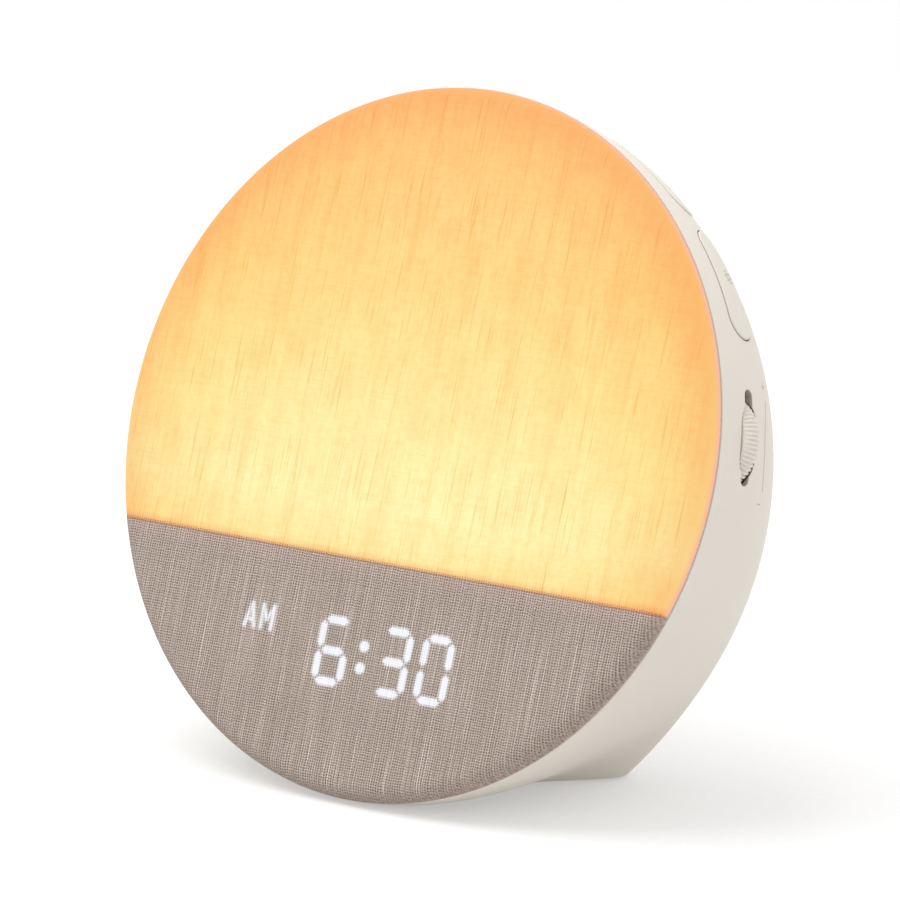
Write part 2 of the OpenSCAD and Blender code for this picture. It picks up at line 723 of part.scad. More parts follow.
// White pan that carries the light, the display and the dials
module back_pan() color("white") on_face() difference() {
  union() {
    translate([0, 0, pan_back]) cylinder(r = pan_r, h = pan_top - pan_back, $fn = rim_fn);
    at_pan_dials() translate([0, 0, pan_back - bearing_len])
      cylinder(r = shaft_r + boss_wall, h = bearing_len + glue_gap, $fn = small_fn);
  }
  translate([0, 0, pan_front]) cylinder(r = pan_inner, h = through, $fn = rim_fn);
  for (a = pan_boss_angles) rotate(a) translate([pan_boss_ring, 0, 0]) {
    translate([0, 0, -through / 2]) cylinder(r = pass_r, h = through, $fn = small_fn);
    translate([0, 0, pan_front - screw_head_h])
      cylinder(r = screw_head_r + fit_gap, h = through, $fn = small_fn);
  }
  at_pan_dials() {
    translate([0, 0, pan_back - bearing_len - spill])
      cylinder(r = shaft_r + shaft_gap, h = bearing_len + spill, $fn = small_fn);
    at_bridge_legs() translate([0, 0, -through / 2]) cylinder(r = tap_r, h = through, $fn = small_fn);
  }
  at_bracket_feet() translate([0, 0, -through / 2]) cylinder(r = tap_r, h = through, $fn = small_fn);
  translate([hour_x - cable_slot.x / 2, -digit_drop - cable_slot.y / 2, -through / 2])
    cube([cable_slot.x, cable_slot.y, through]);
}

// Both dial axes, in the face frame
module at_pan_dials() for (side = [0, 1]) mirror([side, 0, 0]) rotate(dial_angle)
  translate([dial_ring, 0, 0]) children();

module pan_screws() color("silver") on_face() for (a = pan_boss_angles) rotate(a)
  translate([pan_boss_ring, 0, pan_front - screw_head_h])
    screw(screw_r, pan_screw_len, screw_head_r, screw_head_h - glue_gap);

// ---------------------------------------------------------------- display

ones_x = tens_x + digit_pitch;
digit_xs = [hour_x - digit_pitch, hour_x, tens_x, ones_x];
colon_x = (hour_x + tens_x) / 2;
letter_xs = [hour_x - letter_offset, hour_x - letter_offset + letter_pitch];
display_x0 = letter_xs[0] - letter_w / 2 - board_margin;
display_x1 = ones_x + digit_w / 2 + board_margin;

// One bar of a digit, pointed at both ends, lying along x
module bar(grow) {
  p = bar_wid / 2;
  h = bar_len / 2;
  tip = h + grow * 1.2;
  polygon([[-tip, 0], [p - h, -p - grow], [h - p, -p - grow],
           [tip, 0], [h - p, p + grow], [p - h, p + grow]]);
}

// Straight stroke of a letter between two points
module letter_stroke(a, b, grow) {
  d = b - a;
  translate((a + b) / 2) rotate(atan2(d.y, d.x))
    square([norm(d) + 2 * grow, letter_stroke_w + 2 * grow], center = true);
}

module letters(grow) {
  h = letter_h / 2;
  w = (letter_w - letter_stroke_w) / 2;
  translate([letter_xs[0], 0]) {
    letter_stroke([-w, -h], [0, h], grow);
    letter_stroke([w, -h], [0, h], grow);
    letter_stroke([-w * 0.6, -h * 0.35], [w * 0.6, -h * 0.35], grow);
  }
  translate([letter_xs[1], 0]) for (side = [-1, 1]) {
    letter_stroke([side * w, -h], [side * w, h], grow);
    letter_stroke([side * w, h * 0.9], [0, -h * 0.2], grow);
  }
}

// All bars of the four digits, the colon and the letters, as flat shapes
module segment_shapes(grow) translate([0, -digit_drop]) {
  for (x = digit_xs) translate([x, 0]) {
    for (y = [-digit_h / 2, 0, digit_h / 2]) translate([0, y]) bar(grow);
    for (side = [-1, 1], y = [-1, 1])
      translate([side * digit_w / 2, y * digit_h / 4]) rotate(90) bar(grow);
  }
  for (y = [-dot_gap / 2, dot_gap / 2]) translate([colon_x, y])
    circle(d = dot_d + 2 * grow, $fn = small_fn);
  translate([0, (digit_h + bar_wid - letter_h) / 2]) letters(grow);
}

module display_segments() color("white") on_face()
  translate([0, 0, divider_z1]) linear_extrude(cap_t - panel_skin - glue_gap) segment_shapes(0);

// Plate in the face frame around the digits, with an even margin
module display_block(margin, z0, h)
  translate([display_x0 + board_margin - margin, -digit_drop - digit_h / 2 - margin, z0])
    cube([display_x1 - display_x0 - 2 * (board_margin - margin), digit_h + 2 * margin, h]);

module digit_housing() color(dark) on_face()
  display_block(board_margin / 2, pan_front + display_board_t, divider_z1 - pan_front - display_board_t);

module display_board() color(board_green) on_face() display_block(board_margin, pan_front, display_board_t);

// ---------------------------------------------------------------- dials

module at_dial(side) on_face() mirror([side, 0, 0]) rotate(dial_angle)
  translate([dial_ring, 0, 0]) children();

module at_bridge_legs() for (y = [-bridge_reach, bridge_reach]) translate([0, y, 0]) children();

// Disc about z = 0 whose rim is crowned, with its largest radius in the middle
module crowned_disc(r, w, sides) {
  crown_r = (w * w / 4 + dial_crown * dial_crown) / (2 * dial_crown);
  half = asin(w / 2 / crown_r);
  rotate_extrude($fn = sides) polygon(concat([[0, -w / 2]], arc([r - crown_r, 0], crown_r, -half, half, 6),
                                             [[0, w / 2]]));
}

// Thumb dial with a crowned rim and ridges across it
module dial() translate([0, 0, -dial_back]) difference() {
  intersection() {
    crowned_disc(dial_r, dial_w, 2 * dial_ridges);
    linear_extrude(2 * dial_w, center = true) polygon([for (i = [0 : dial_ridges - 1], k = [0 : 3])
      let (r = dial_r + (k < 2 ? 1 : -1) * ridge_depth, a = 360 * (i + k / 4) / dial_ridges)
      r * [cos(a), sin(a)]]);
  }
  cylinder(r = shaft_r + shaft_gap / 2, h = 2 * dial_w, center = true, $fn = small_fn);
}

module dial_shaft()
  translate([0, 0, shaft_back]) cylinder(r = shaft_r, h = shaft_front - shaft_back, $fn = small_fn);

module encoder() difference() {
  translate([-encoder_size / 2, -encoder_size / 2, bridge_z0 - encoder_t])
    cube([encoder_size, encoder_size, encoder_t]);
  translate([0, 0, shaft_back - fit_gap]) cylinder(r = shaft_r + shaft_gap, h = through, $fn = small_fn);
}

// Bridge behind the dial: a bar with a leg at each end and a square pad for the encoder
module dial_bridge() difference() {
  union() {
    translate([-bridge_leg / 2, -bridge_reach - bridge_leg / 2, bridge_z0])
      cube([bridge_leg, 2 * bridge_reach + bridge_leg, bridge_t]);
    translate([-bridge_leg, -bridge_leg, bridge_z0]) cube([2 * bridge_leg, 2 * bridge_leg, bridge_t]);
    at_bridge_legs() translate([-bridge_leg / 2, -bridge_leg / 2, bridge_z0])
      cube([bridge_leg, bridge_leg, pan_back - bridge_z0]);
  }
  translate([0, 0, bridge_z0 - spill]) cylinder(r = shaft_r + fit_gap, h = through, $fn = small_fn);
  at_bridge_legs() translate([0, 0, bridge_z0 - spill]) cylinder(r = tap_r, h = through, $fn = small_fn);
}

module volume_dial() color(putty) at_dial(0) dial();
module brightness_dial() color(putty) at_dial(1) dial();
module volume_shaft() color(steel) at_dial(0) dial_shaft();
module brightness_shaft() color(steel) at_dial(1) dial_shaft();
module volume_encoder() color("#3a4a5c") at_dial(0) encoder();
module brightness_encoder() color("#3a4a5c") at_dial(1) encoder();
module volume_bracket() color("#d9d9d6") at_dial(0) dial_bridge();
module brightness_bracket() color("#d9d9d6") at_dial(1) dial_bridge();

// Screws of the dial bridges and of the button brackets, driven from behind
module bracket_screws() color("silver") {
  for (side = [0, 1]) at_dial(side) at_bridge_legs() translate([0, 0, bridge_z0])
    mirror([0, 0, 1]) screw(screw_r, pan_front - bridge_z0 - glue_gap, screw_head_r, screw_head_h);
  on_face() at_bracket_feet() translate([0, 0, pan_back - bracket_foot_t])
    mirror([0, 0, 1]) screw(screw_r, bracket_foot_t + pan_t - glue_gap, screw_head_r, screw_head_h);
}

// ---------------------------------------------------------------- buttons

button_angles = [lower_button_angle, upper_button_angle];
patch_spare = 1;

module at_buttons() for (a = button_angles) on_skin(button_back, a) children();

module at_bracket_feet() for (a = button_angles) rotate(a)
  translate([bracket_ring(a) - bracket_foot / 2, 0, 0]) children();

// Part of the body's wall between two depths below its skin, inside a pill around a button
module button_piece(a, grow, top, bottom) intersection() {
  half_back = button_wid / 2 + button_lip + patch_spare;
  half_angle = (button_len / 2 + button_lip + patch_spare) / (face_r * PI) * 180;
  on_skin(button_back, a) translate([0, 0, -through / 2]) linear_extrude(through)
    polygon(pill(button_len + 2 * grow, button_wid + 2 * grow));
  wall_patch(button_back, a, half_back, half_angle, top, bottom);
}

// Button cap that follows the body's skin, with a lip inside the wall and a stem
module button(a) {
  button_piece(a, -button_gap, -button_proud, lip_end);
  button_piece(a, button_lip, lip_top, lip_end);
  on_skin(button_back, a) translate([0, 0, -stem_depth])
    cylinder(r = stem_r, h = stem_depth - lip_end + patch_spare, $fn = small_fn);
}

module plunger(a) on_skin(button_back, a) translate([0, 0, -plunger_end])
  cylinder(r = plunger_r, h = plunger_len, $fn = small_fn);

module lower_button() color("#e8e2d6") button(lower_button_angle);
module upper_button() color("#e8e2d6") button(upper_button_angle);
module lower_plunger() color("#7a2f2a") plunger(lower_button_angle);
module upper_plunger() color("#7a2f2a") plunger(upper_button_angle);

module button_switches() color(dark) at_buttons() difference() {
  translate([-switch_size / 2, -switch_size / 2, -button_board_top])
    cube([switch_size, switch_size, switch_h]);
  translate([0, 0, -plunger_end - button_travel - fit_gap])
    cylinder(r = plunger_r + shaft_gap, h = through, $fn = small_fn);
}

module button_boards() color(board_green) at_buttons()
  translate([-carrier_len / 2, -carrier_wid / 2, -carrier_top])
    cube([carrier_len, carrier_wid, button_board_t]);

// One bracket for each button: carrier block, upright plate and screwed foot
module button_bracket() color("#d9d9d6") {
  at_buttons() translate([-carrier_len / 2, -carrier_wid / 2, -carrier_end])
    cube([carrier_len, carrier_wid, carrier_t]);
  on_face() for (a = button_angles) rotate(a) translate([bracket_ring(a), 0, 0]) difference() {
    union() {
      translate([0, -carrier_len / 2, -button_back]) cube([bracket_t, carrier_len, button_back + pan_back]);
      translate([-bracket_foot, -carrier_len / 2, pan_back - bracket_foot_t])
        cube([bracket_foot + bracket_t, carrier_len, bracket_foot_t]);
    }
    translate([-bracket_foot / 2, 0, -through]) cylinder(r = pass_r, h = through, $fn = small_fn);
  }
}

// ---------------------------------------------------------------- speaker

// Frame at the speaker's opening, z out of the back
module on_back() translate([0, speaker_y, speaker_z]) rotate([-90 - speaker_lean, 0, 0]) children();

module at_speaker_screws() for (turn = [45 : 90 : 315]) rotate(turn)
  translate([speaker_screw_ring, 0, 0]) children();

speaker_grip = 4;
basket_z0 = collar_z0 - flange_t;
basket_end = basket_z0 - basket_depth;
basket_mouth = horn_r - basket_t;
surround_r = basket_mouth - glue_gap;
cone_r = surround_r - surround_w;
cone_t = 1;

// Round plate with rings of holes, six more in each ring than in the one inside it
module speaker_grille() color("#cfc7bb") on_back() difference() {
  translate([0, 0, grille_z0]) cylinder(r = grille_r, h = grille_t, $fn = rim_fn);
  for (ring = [0 : floor(grille_r / grille_pitch) - 1]) {
    holes = max(1, 6 * ring);
    for (k = [0 : holes - 1]) rotate(360 * k / holes) translate([ring * grille_pitch, 0, grille_z0 - spill])
      cylinder(d = grille_hole, h = grille_t + 2 * spill, $fn = small_fn);
  }
}

module speaker_basket() color("#3b3b3d") on_back() difference() {
  rotate_extrude() polygon([
    [magnet_r - basket_t, basket_end], [magnet_r, basket_end],
    [basket_mouth + basket_t, basket_z0 - flange_t], [basket_mouth + basket_t, basket_z0],
    [collar_r, basket_z0], [collar_r, collar_z0], [basket_mouth, collar_z0],
    [basket_mouth, basket_z0 - flange_t], [magnet_r - basket_t, basket_end + 2 * basket_t]]);
  at_speaker_screws() translate([0, 0, -through])
    cylinder(r = speaker_screw_r + fit_gap, h = through, $fn = small_fn);
  window = basket_depth / 2;
  for (turn = [0 : 60 : 300]) rotate(turn)
    translate([magnet_r + 2 * basket_t, -window / 2, basket_end + basket_depth / 4])
      cube([window, window, window]);
}

// Half-round rubber ring between the basket and the cone
module speaker_surround() color("#1c1c1e") on_back() rotate_extrude() polygon(concat(
  arc([surround_r - surround_w / 2, basket_z0 + cone_t / 2], surround_w / 2, 0, 180),
  arc([surround_r - surround_w / 2, basket_z0 + cone_t / 2], surround_w / 2 - 0.6, 180, 0)));

// Paper cone with a round dust dome in its middle
module speaker_cone() color("#2c2c30") on_back() {
  edge = cone_r - glue_gap;
  low = basket_z0 - basket_depth / 2;
  rotate_extrude() polygon(concat(
    [[edge, basket_z0 + cone_t / 2], [dome_r, low]], arc([0, low], dome_r, 0, 90),
    arc([0, low - cone_t], dome_r, 90, 0), [[edge, basket_z0 - cone_t / 2]]));
}

module speaker_magnet() color("#55565a") on_back() translate([0, 0, basket_end - magnet_t]) difference() {
  cylinder(r = magnet_r, h = magnet_t);
  translate([0, 0, magnet_t / 2]) cylinder(r = magnet_r / 2, h = magnet_t, $fn = small_fn);
}

module speaker_screws() color("silver") on_back() at_speaker_screws() translate([0, 0, basket_z0])
  mirror([0, 0, 1]) screw(speaker_screw_r, flange_t + speaker_grip, 2 * speaker_screw_r, low_head_h);

// ---------------------------------------------------------------- electronics

module main_board() color(board_green) difference() {
  translate([-board_w / 2, board_y0, board_z0]) cube([board_w, board_y1 - board_y0, board_t]);
  for (p = board_spots) translate([p.x, p.y, board_z0 - spill])
    cylinder(r = pass_r, h = through, $fn = small_fn);
}

module board_screws() color("silver") for (p = board_spots) translate([p.x, p.y, board_z1])
  screw(screw_r, board_t + board_lift - spill, screw_head_r, screw_head_h);

// Radio module and processor side by side, two capacitors beside them and two cable
// sockets in front, placed from the left front corner of the main board
module board_chips() color("#8f9196") {
  screw_clear = board_spot_inset + screw_head_r;
  row_x = screw_clear + chip_gap / 2;
  row_y = socket_d + screw_clear + chip_gap;
  processor_x = row_x + radio_w + chip_gap;
  first_capacitor_x = processor_x + processor_w + chip_gap + capacitor_d / 2;
  translate([-board_w / 2, board_y0, board_z1]) {
    translate([row_x, row_y, 0]) cube([radio_w, radio_len, radio_h]);
    translate([processor_x, row_y, 0]) cube([processor_w, processor_w, processor_h]);
    for (i = [0, 1])
      translate([first_capacitor_x + i * (capacitor_d + chip_gap), row_y + capacitor_d / 2, 0])
        cylinder(d = capacitor_d, h = capacitor_h, $fn = small_fn);
    for (i = [0, 1]) translate([screw_clear + chip_gap + i * (socket_w + 4 * chip_gap), chip_gap, 0])
      cube([socket_w, socket_d, socket_h]);
  }
}

module power_inlet() color("#1f1f21") translate([inlet_x, inlet_y, inlet_z]) difference() {
  translate([-inlet_w / 2, -inlet_body_len, -inlet_h / 2]) cube([inlet_w, inlet_body_len, inlet_h]);
  translate([0, -inlet_len, 0]) rotate([-90, 0, 0])
    cylinder(r = inlet_r, h = inlet_len + spill, $fn = small_fn);
}

// ---------------------------------------------------------------- output

rear_shell();
face_fabric();
diffuser_cap();
display_panel();
light_guide();
reflector_sheet();
light_divider();
strip_board();
strip_lamps();
back_pan();
pan_screws();
display_board();
digit_housing();
display_segments();
volume_dial();
volume_shaft();
volume_encoder();
volume_bracket();
brightness_dial();
brightness_shaft();
brightness_encoder();
brightness_bracket();
bracket_screws();
lower_button();
upper_button();
lower_plunger();
upper_plunger();
button_switches();
button_boards();
button_bracket();
speaker_grille();
speaker_basket();
speaker_surround();
speaker_cone();
speaker_magnet();
speaker_screws();
base_cover();
cover_screws();
foot_pad();
main_board();
board_chips();
board_screws();
power_inlet();
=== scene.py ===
# %% [markdown]
# # A round sunrise alarm clock
# The clock has a leaning round face, covered with taut woven cloth. Above a straight line
# the cloth glows like a sunrise, below it white digits shine through the threads. Behind
# the face sits one putty-coloured plastic shell with two buttons and two thumb dials.
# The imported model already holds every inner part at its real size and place, so this
# lesson keeps those parts, gives them their finishes, and builds finer meshes for what
# the eye meets first: the shell, the cloth, the buttons, the dials and the grille.

# %% Load the fixed frame
import json
import math

import bmesh
import bpy
import numpy as np
from mathutils import Matrix, Vector
from mathutils.bvhtree import BVHTree
from mathutils.geometry import delaunay_2d_cdt


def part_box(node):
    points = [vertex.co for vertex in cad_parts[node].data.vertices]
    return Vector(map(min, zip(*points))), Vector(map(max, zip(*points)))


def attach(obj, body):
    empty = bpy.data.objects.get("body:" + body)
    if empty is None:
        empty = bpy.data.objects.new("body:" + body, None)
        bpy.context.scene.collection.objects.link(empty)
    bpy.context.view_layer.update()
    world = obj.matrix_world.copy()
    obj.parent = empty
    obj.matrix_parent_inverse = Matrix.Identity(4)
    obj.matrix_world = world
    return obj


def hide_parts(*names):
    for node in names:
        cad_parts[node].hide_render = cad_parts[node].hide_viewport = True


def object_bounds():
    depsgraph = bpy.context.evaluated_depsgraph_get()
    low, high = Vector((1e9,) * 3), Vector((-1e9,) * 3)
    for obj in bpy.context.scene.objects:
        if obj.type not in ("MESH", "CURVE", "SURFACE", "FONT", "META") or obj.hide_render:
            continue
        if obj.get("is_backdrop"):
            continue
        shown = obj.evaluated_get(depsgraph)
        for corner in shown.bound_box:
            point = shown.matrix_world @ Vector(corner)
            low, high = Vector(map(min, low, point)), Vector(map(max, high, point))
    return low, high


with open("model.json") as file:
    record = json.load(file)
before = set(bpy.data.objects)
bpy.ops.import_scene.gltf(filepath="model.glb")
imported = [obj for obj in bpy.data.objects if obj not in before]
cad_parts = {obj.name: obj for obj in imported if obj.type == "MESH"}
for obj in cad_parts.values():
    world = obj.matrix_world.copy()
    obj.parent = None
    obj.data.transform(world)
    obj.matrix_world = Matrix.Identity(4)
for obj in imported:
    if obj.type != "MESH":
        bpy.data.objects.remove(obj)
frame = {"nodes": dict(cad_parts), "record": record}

nodes = frame["nodes"]
cad_box = [list(corner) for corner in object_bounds()]
print("box in mm:", [[round(x * 1000, 1) for x in corner] for corner in cad_box])

# %% [markdown]
# ## Small helpers
# A few helpers serve the whole lesson. Colours are written as the sRGB hex values that a
# designer would pick and turned to the linear numbers that shaders need. One function
# adds any node, of a material or of Geometry Nodes, with its settings and its links. The
# others start a material, make a mesh piece from points in millimetres, turn its faces
# outwards, make its modifiers plain mesh, and cut one piece with another.

# %% Colours, nodes and pieces
MM = 0.001


def linear(colour):
    """The sRGB hex colour as linear red, green, blue and a full alpha."""
    parts = [int(colour[i:i + 2], 16) / 255 for i in (1, 3, 5)]
    return [c / 12.92 if c <= 0.04045 else ((c + 0.055) / 1.055) ** 2.4 for c in parts] + [1.0]


MATH, MIX = "ShaderNodeMath", "ShaderNodeMix"


def add(tree, kind, inputs=(), stops=None, **settings):
    """Adds a node with its settings, the stops of its colour ramp, and its inputs in order or by
    name. An input that is a node or a socket is linked, and any other value is filled in."""
    made = tree.nodes.new(kind)
    for name, value in settings.items():
        setattr(made, name, value)
    if stops:
        ends = made.color_ramp.elements
        ends[0].position, ends[0].color = stops[0]
        ends[1].position, ends[1].color = stops[-1]
        for at, colour in stops[1:-1]:
            ends.new(at).color = colour
    for key, value in inputs.items() if isinstance(inputs, dict) else enumerate(inputs):
        if isinstance(value, bpy.types.Node):
            value = value.outputs[0]
        if isinstance(value, bpy.types.NodeSocket):
            tree.links.new(value, made.inputs[key])
        else:
            made.inputs[key].default_value = value
    return made


def new_finish(name, **fixed):
    """A material with one Principled shader; fixed sets that shader's own sockets."""
    material = bpy.data.materials.new(name)
    material.use_nodes = True
    tree = material.node_tree
    tree.nodes.clear()
    sockets = {key.replace("_", " "): value for key, value in fixed.items()}
    shader = add(tree, "ShaderNodeBsdfPrincipled", sockets)
    add(tree, "ShaderNodeOutputMaterial", {"Surface": shader.outputs["BSDF"]})
    return material, tree, shader


def new_piece(name, points, faces, finish=None):
    """A mesh object at the origin, from points in millimetres."""
    mesh = bpy.data.meshes.new(name)
    mesh.from_pydata((np.asarray(points, float) * MM).tolist(), [], [list(f) for f in faces])
    mesh.validate()
    if finish:
        mesh.materials.append(finish)
    piece = bpy.data.objects.new(name, mesh)
    bpy.context.scene.collection.objects.link(piece)
    return piece


def outwards(piece, weld=0.0):
    """Welds points that meet and turns the faces of a closed mesh outwards."""
    edit = bmesh.new()
    edit.from_mesh(piece.data)
    if weld:
        bmesh.ops.remove_doubles(edit, verts=edit.verts, dist=weld * MM)
        bmesh.ops.dissolve_degenerate(edit, edges=edit.edges, dist=weld * MM)
    if edit.calc_volume(signed=True) < 0:
        bmesh.ops.reverse_faces(edit, faces=edit.faces)
    edit.to_mesh(piece.data)
    edit.free()
    return piece


def settle(piece):
    """Turns a piece with its modifiers into a plain mesh."""
    graph = bpy.context.evaluated_depsgraph_get()
    mesh = bpy.data.meshes.new_from_object(piece.evaluated_get(graph), depsgraph=graph)
    piece.modifiers.clear()
    piece.data = mesh
    return piece


def carve(piece, tool, operation="DIFFERENCE"):
    """Cuts a tool out of a piece, or joins it on, and throws the tool away."""
    cut = piece.modifiers.new("cut", "BOOLEAN")
    cut.operation, cut.solver, cut.object = operation, "MANIFOLD", tool
    settle(piece)
    bpy.data.objects.remove(tool)
    return piece


print("linear putty:", [round(x, 3) for x in linear("#e2dbd0")])

# %% [markdown]
# ## The camera
# The view looks at the clock from its right, a little from above, through a very long
# lens, as a catalogue picture does. The camera is placed from four facts: the two angles,
# how many pixels the face's radius covers, and where the face's middle falls in the
# square picture.

# %% Place the camera
FACE_R = 103.0
FACE_TILT = math.radians(19.5)
FACE_GAP = 0.9
FACE_CENTRE = np.array([0.0, 0.0, FACE_R * math.cos(FACE_TILT) + FACE_GAP])
FACE_OUT = np.array([0.0, -math.cos(FACE_TILT), math.sin(FACE_TILT)])
FACE_UP = np.array([0.0, math.sin(FACE_TILT), math.cos(FACE_TILT)])
FACE_RIGHT = np.array([1.0, 0.0, 0.0])

AZIMUTH = math.radians(37.28)
ELEVATION = math.radians(13.28)
PICTURE = 900
FOCAL_PIXELS = 7900
FACE_PIXELS = 362.4
FACE_PIXEL_X, FACE_PIXEL_Y = 418.1, 444.0
SENSOR = 36.0

towards = np.array([math.sin(AZIMUTH) * math.cos(ELEVATION),
                    -math.cos(AZIMUTH) * math.cos(ELEVATION), math.sin(ELEVATION)])
right = np.array([math.cos(AZIMUTH), math.sin(AZIMUTH), 0.0])
upward = np.cross(right, -towards)
distance = FOCAL_PIXELS * FACE_R / FACE_PIXELS
aside = (FACE_PIXEL_X - PICTURE / 2) * distance / FOCAL_PIXELS
above = (PICTURE / 2 - FACE_PIXEL_Y) * distance / FOCAL_PIXELS
eye = FACE_CENTRE + distance * towards - aside * right - above * upward

camera = bpy.data.objects.new("camera", bpy.data.cameras.new("camera"))
bpy.context.scene.collection.objects.link(camera)
camera.location = eye * MM
camera.rotation_euler = (math.pi / 2 - ELEVATION, 0, AZIMUTH)
camera.data.sensor_width = SENSOR
camera.data.lens = FOCAL_PIXELS / PICTURE * SENSOR
camera.data.clip_start, camera.data.clip_end = 0.05, 60
bpy.context.scene.camera = camera
print(f"camera {distance:.0f} mm away, lens {camera.data.lens:.0f} mm")

# %% [markdown]
# ## The law of the body
# The shell is a stack of sections parallel to the face. Towards the back they shrink,
# slide down and grow wider, and the back is bent softly into a flatter wall. The same
# few numbers drive the solids of the model, so the fine mesh lies on the same surface.

# %% The body's surface as a function
BODY_DEPTH = 77.0
FLANK_POWER, TAIL_POWER = 1.92, 1.79
BODY_DROP, DROP_POWER = 92.4, 3.83
BODY_WIDEN, WIDEN_POWER = 0.30, 1.34
BACK_START, BACK_LIMIT = 50.0, 64.0
WALL = 2.5
FOOT_T, FLOOR_T = 0.8, 2.5


def body_points(t, a, inset=0.0):
    """Points of the body's surface: t is 0 at the seam and 1 at the tail, a goes round the face."""
    t, a = np.broadcast_arrays(np.asarray(t, float), np.asarray(a, float))
    r = (FACE_R - inset) * np.clip(1 - t ** FLANK_POWER, 0, 1) ** (1 / TAIL_POWER)
    x = r * (1 + BODY_WIDEN * t ** WIDEN_POWER) * np.cos(a)
    slide = r * np.sin(a) - BODY_DROP * t ** DROP_POWER
    p = (FACE_CENTRE + x[..., None] * FACE_RIGHT + slide[..., None] * FACE_UP
         - ((BODY_DEPTH - inset) * t)[..., None] * FACE_OUT)
    start, reach = BACK_START - inset, BACK_LIMIT - BACK_START
    y = p[..., 1]
    p[..., 1] = np.where(y > start, start + reach * np.tanh((y - start) / reach), y)
    return p


def place(frame_at, points):
    """Points given in a frame (its origin and its three axes) as points of the model."""
    origin, x, y, z = frame_at
    p = np.asarray(points, float)
    return origin + p[..., :1] * x + p[..., 1:2] * y + p[..., 2:3] * z


def turned(frame_at, angle, shift=(0, 0, 0)):
    """A frame turned about its own z, then moved along its new axes."""
    origin, x, y, z = frame_at
    c, s = math.cos(angle), math.sin(angle)
    x, y = c * x + s * y, c * y - s * x
    return origin + shift[0] * x + shift[1] * y + shift[2] * z, x, y, z


FACE = (FACE_CENTRE, FACE_RIGHT, FACE_UP, FACE_OUT)
MIRRORED_FACE = (FACE_CENTRE, -FACE_RIGHT, FACE_UP, FACE_OUT)


def skin_frame(back, angle):
    """The frame on the skin at a depth behind the seam: x along the ring, z outwards."""
    t, dt, da = back / BODY_DEPTH, 0.002, math.radians(0.2)
    along = body_points(t, angle + da) - body_points(t, angle - da)
    out = np.cross(body_points(t + dt, angle) - body_points(t - dt, angle), along)
    x, z = along / np.linalg.norm(along), out / np.linalg.norm(out)
    return body_points(t, angle), x, np.cross(z, x), z


def ring_radius(back, angle, inset):
    """How far the skin is from the face's axis, at a depth behind the seam."""
    p = body_points(back / (BODY_DEPTH - inset), angle, inset) - FACE_CENTRE + back * FACE_OUT
    return float(np.linalg.norm(p))


print("widest half-width:", round(float(body_points(np.linspace(0, 1, 99), 0)[:, 0].max()), 2), "mm")

# %% [markdown]
# ## Building blocks for the shell
# The shell is made as a moulder would think of it: one solid skin, one solid core taken
# out of it, and then the openings. Every tool for a cut is a closed mesh. A loft joins
# rings of points, which is enough for the body, for round rods and for the pill-shaped
# buttons, and a flat prism does the rest.

# %% Lofts, rods and prisms
def loft(name, rows, finish=None, closed_ends=True):
    """A closed mesh through rings of equally many points, from the first ring to the last."""
    rows = np.asarray(rows, float)
    count, sides = rows.shape[:2]
    j = np.arange(sides)
    k = (j + 1) % sides
    faces = []
    for i in range(count - 1):
        low, high = i * sides, (i + 1) * sides
        faces += np.stack([low + j, low + k, high + k, high + j], 1).tolist()
    if closed_ends:
        faces += [j[::-1].tolist(), ((count - 1) * sides + j).tolist()]
    return outwards(new_piece(name, rows.reshape(-1, 3), faces, finish))


def prism(name, outline, frame_at, z0, z1, finish=None):
    """An outline in a frame, counter-clockwise, drawn out from z0 to z1."""
    flat = np.asarray(outline, float)
    rows = [place(frame_at, np.column_stack([flat, np.full(len(flat), z)])) for z in (z0, z1)]
    return loft(name, rows, finish)


def circle(radius, sides=96, centre=(0, 0)):
    """Points round a circle, counter-clockwise."""
    a = np.linspace(0, 2 * math.pi, sides, endpoint=False)
    return np.column_stack([centre[0] + radius * np.cos(a), centre[1] + radius * np.sin(a)])


def pill(length, width, bend=24, straight=12):
    """Points round a long shape with half-round ends, counter-clockwise, evenly cut."""
    half, r = (length - width) / 2, width / 2
    a = np.linspace(-math.pi / 2, math.pi / 2, bend)
    x = np.linspace(half, -half, straight + 2)[1:-1]
    cap = np.column_stack([half + r * np.cos(a), r * np.sin(a)])
    edge = np.column_stack([x, np.full(straight, r)])
    return np.vstack([cap, edge, -cap, -edge])


print("points of a pill-shaped outline:", len(pill(2, 1)))

# %% [markdown]
# ## The shell's skin and core
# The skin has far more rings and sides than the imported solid, so no facet shows along
# the outline. Its front edge gets a small rounding where it meets the cloth: a moulded
# edge is never knife-sharp, and this rounding is what catches a thin line of light
# beside the seam.

# %% Skin minus core
SKIN_SIDES, SKIN_RINGS = 360, 110
CORE_SIDES, CORE_RINGS = 180, 48
EDGE_ROUND = 0.3


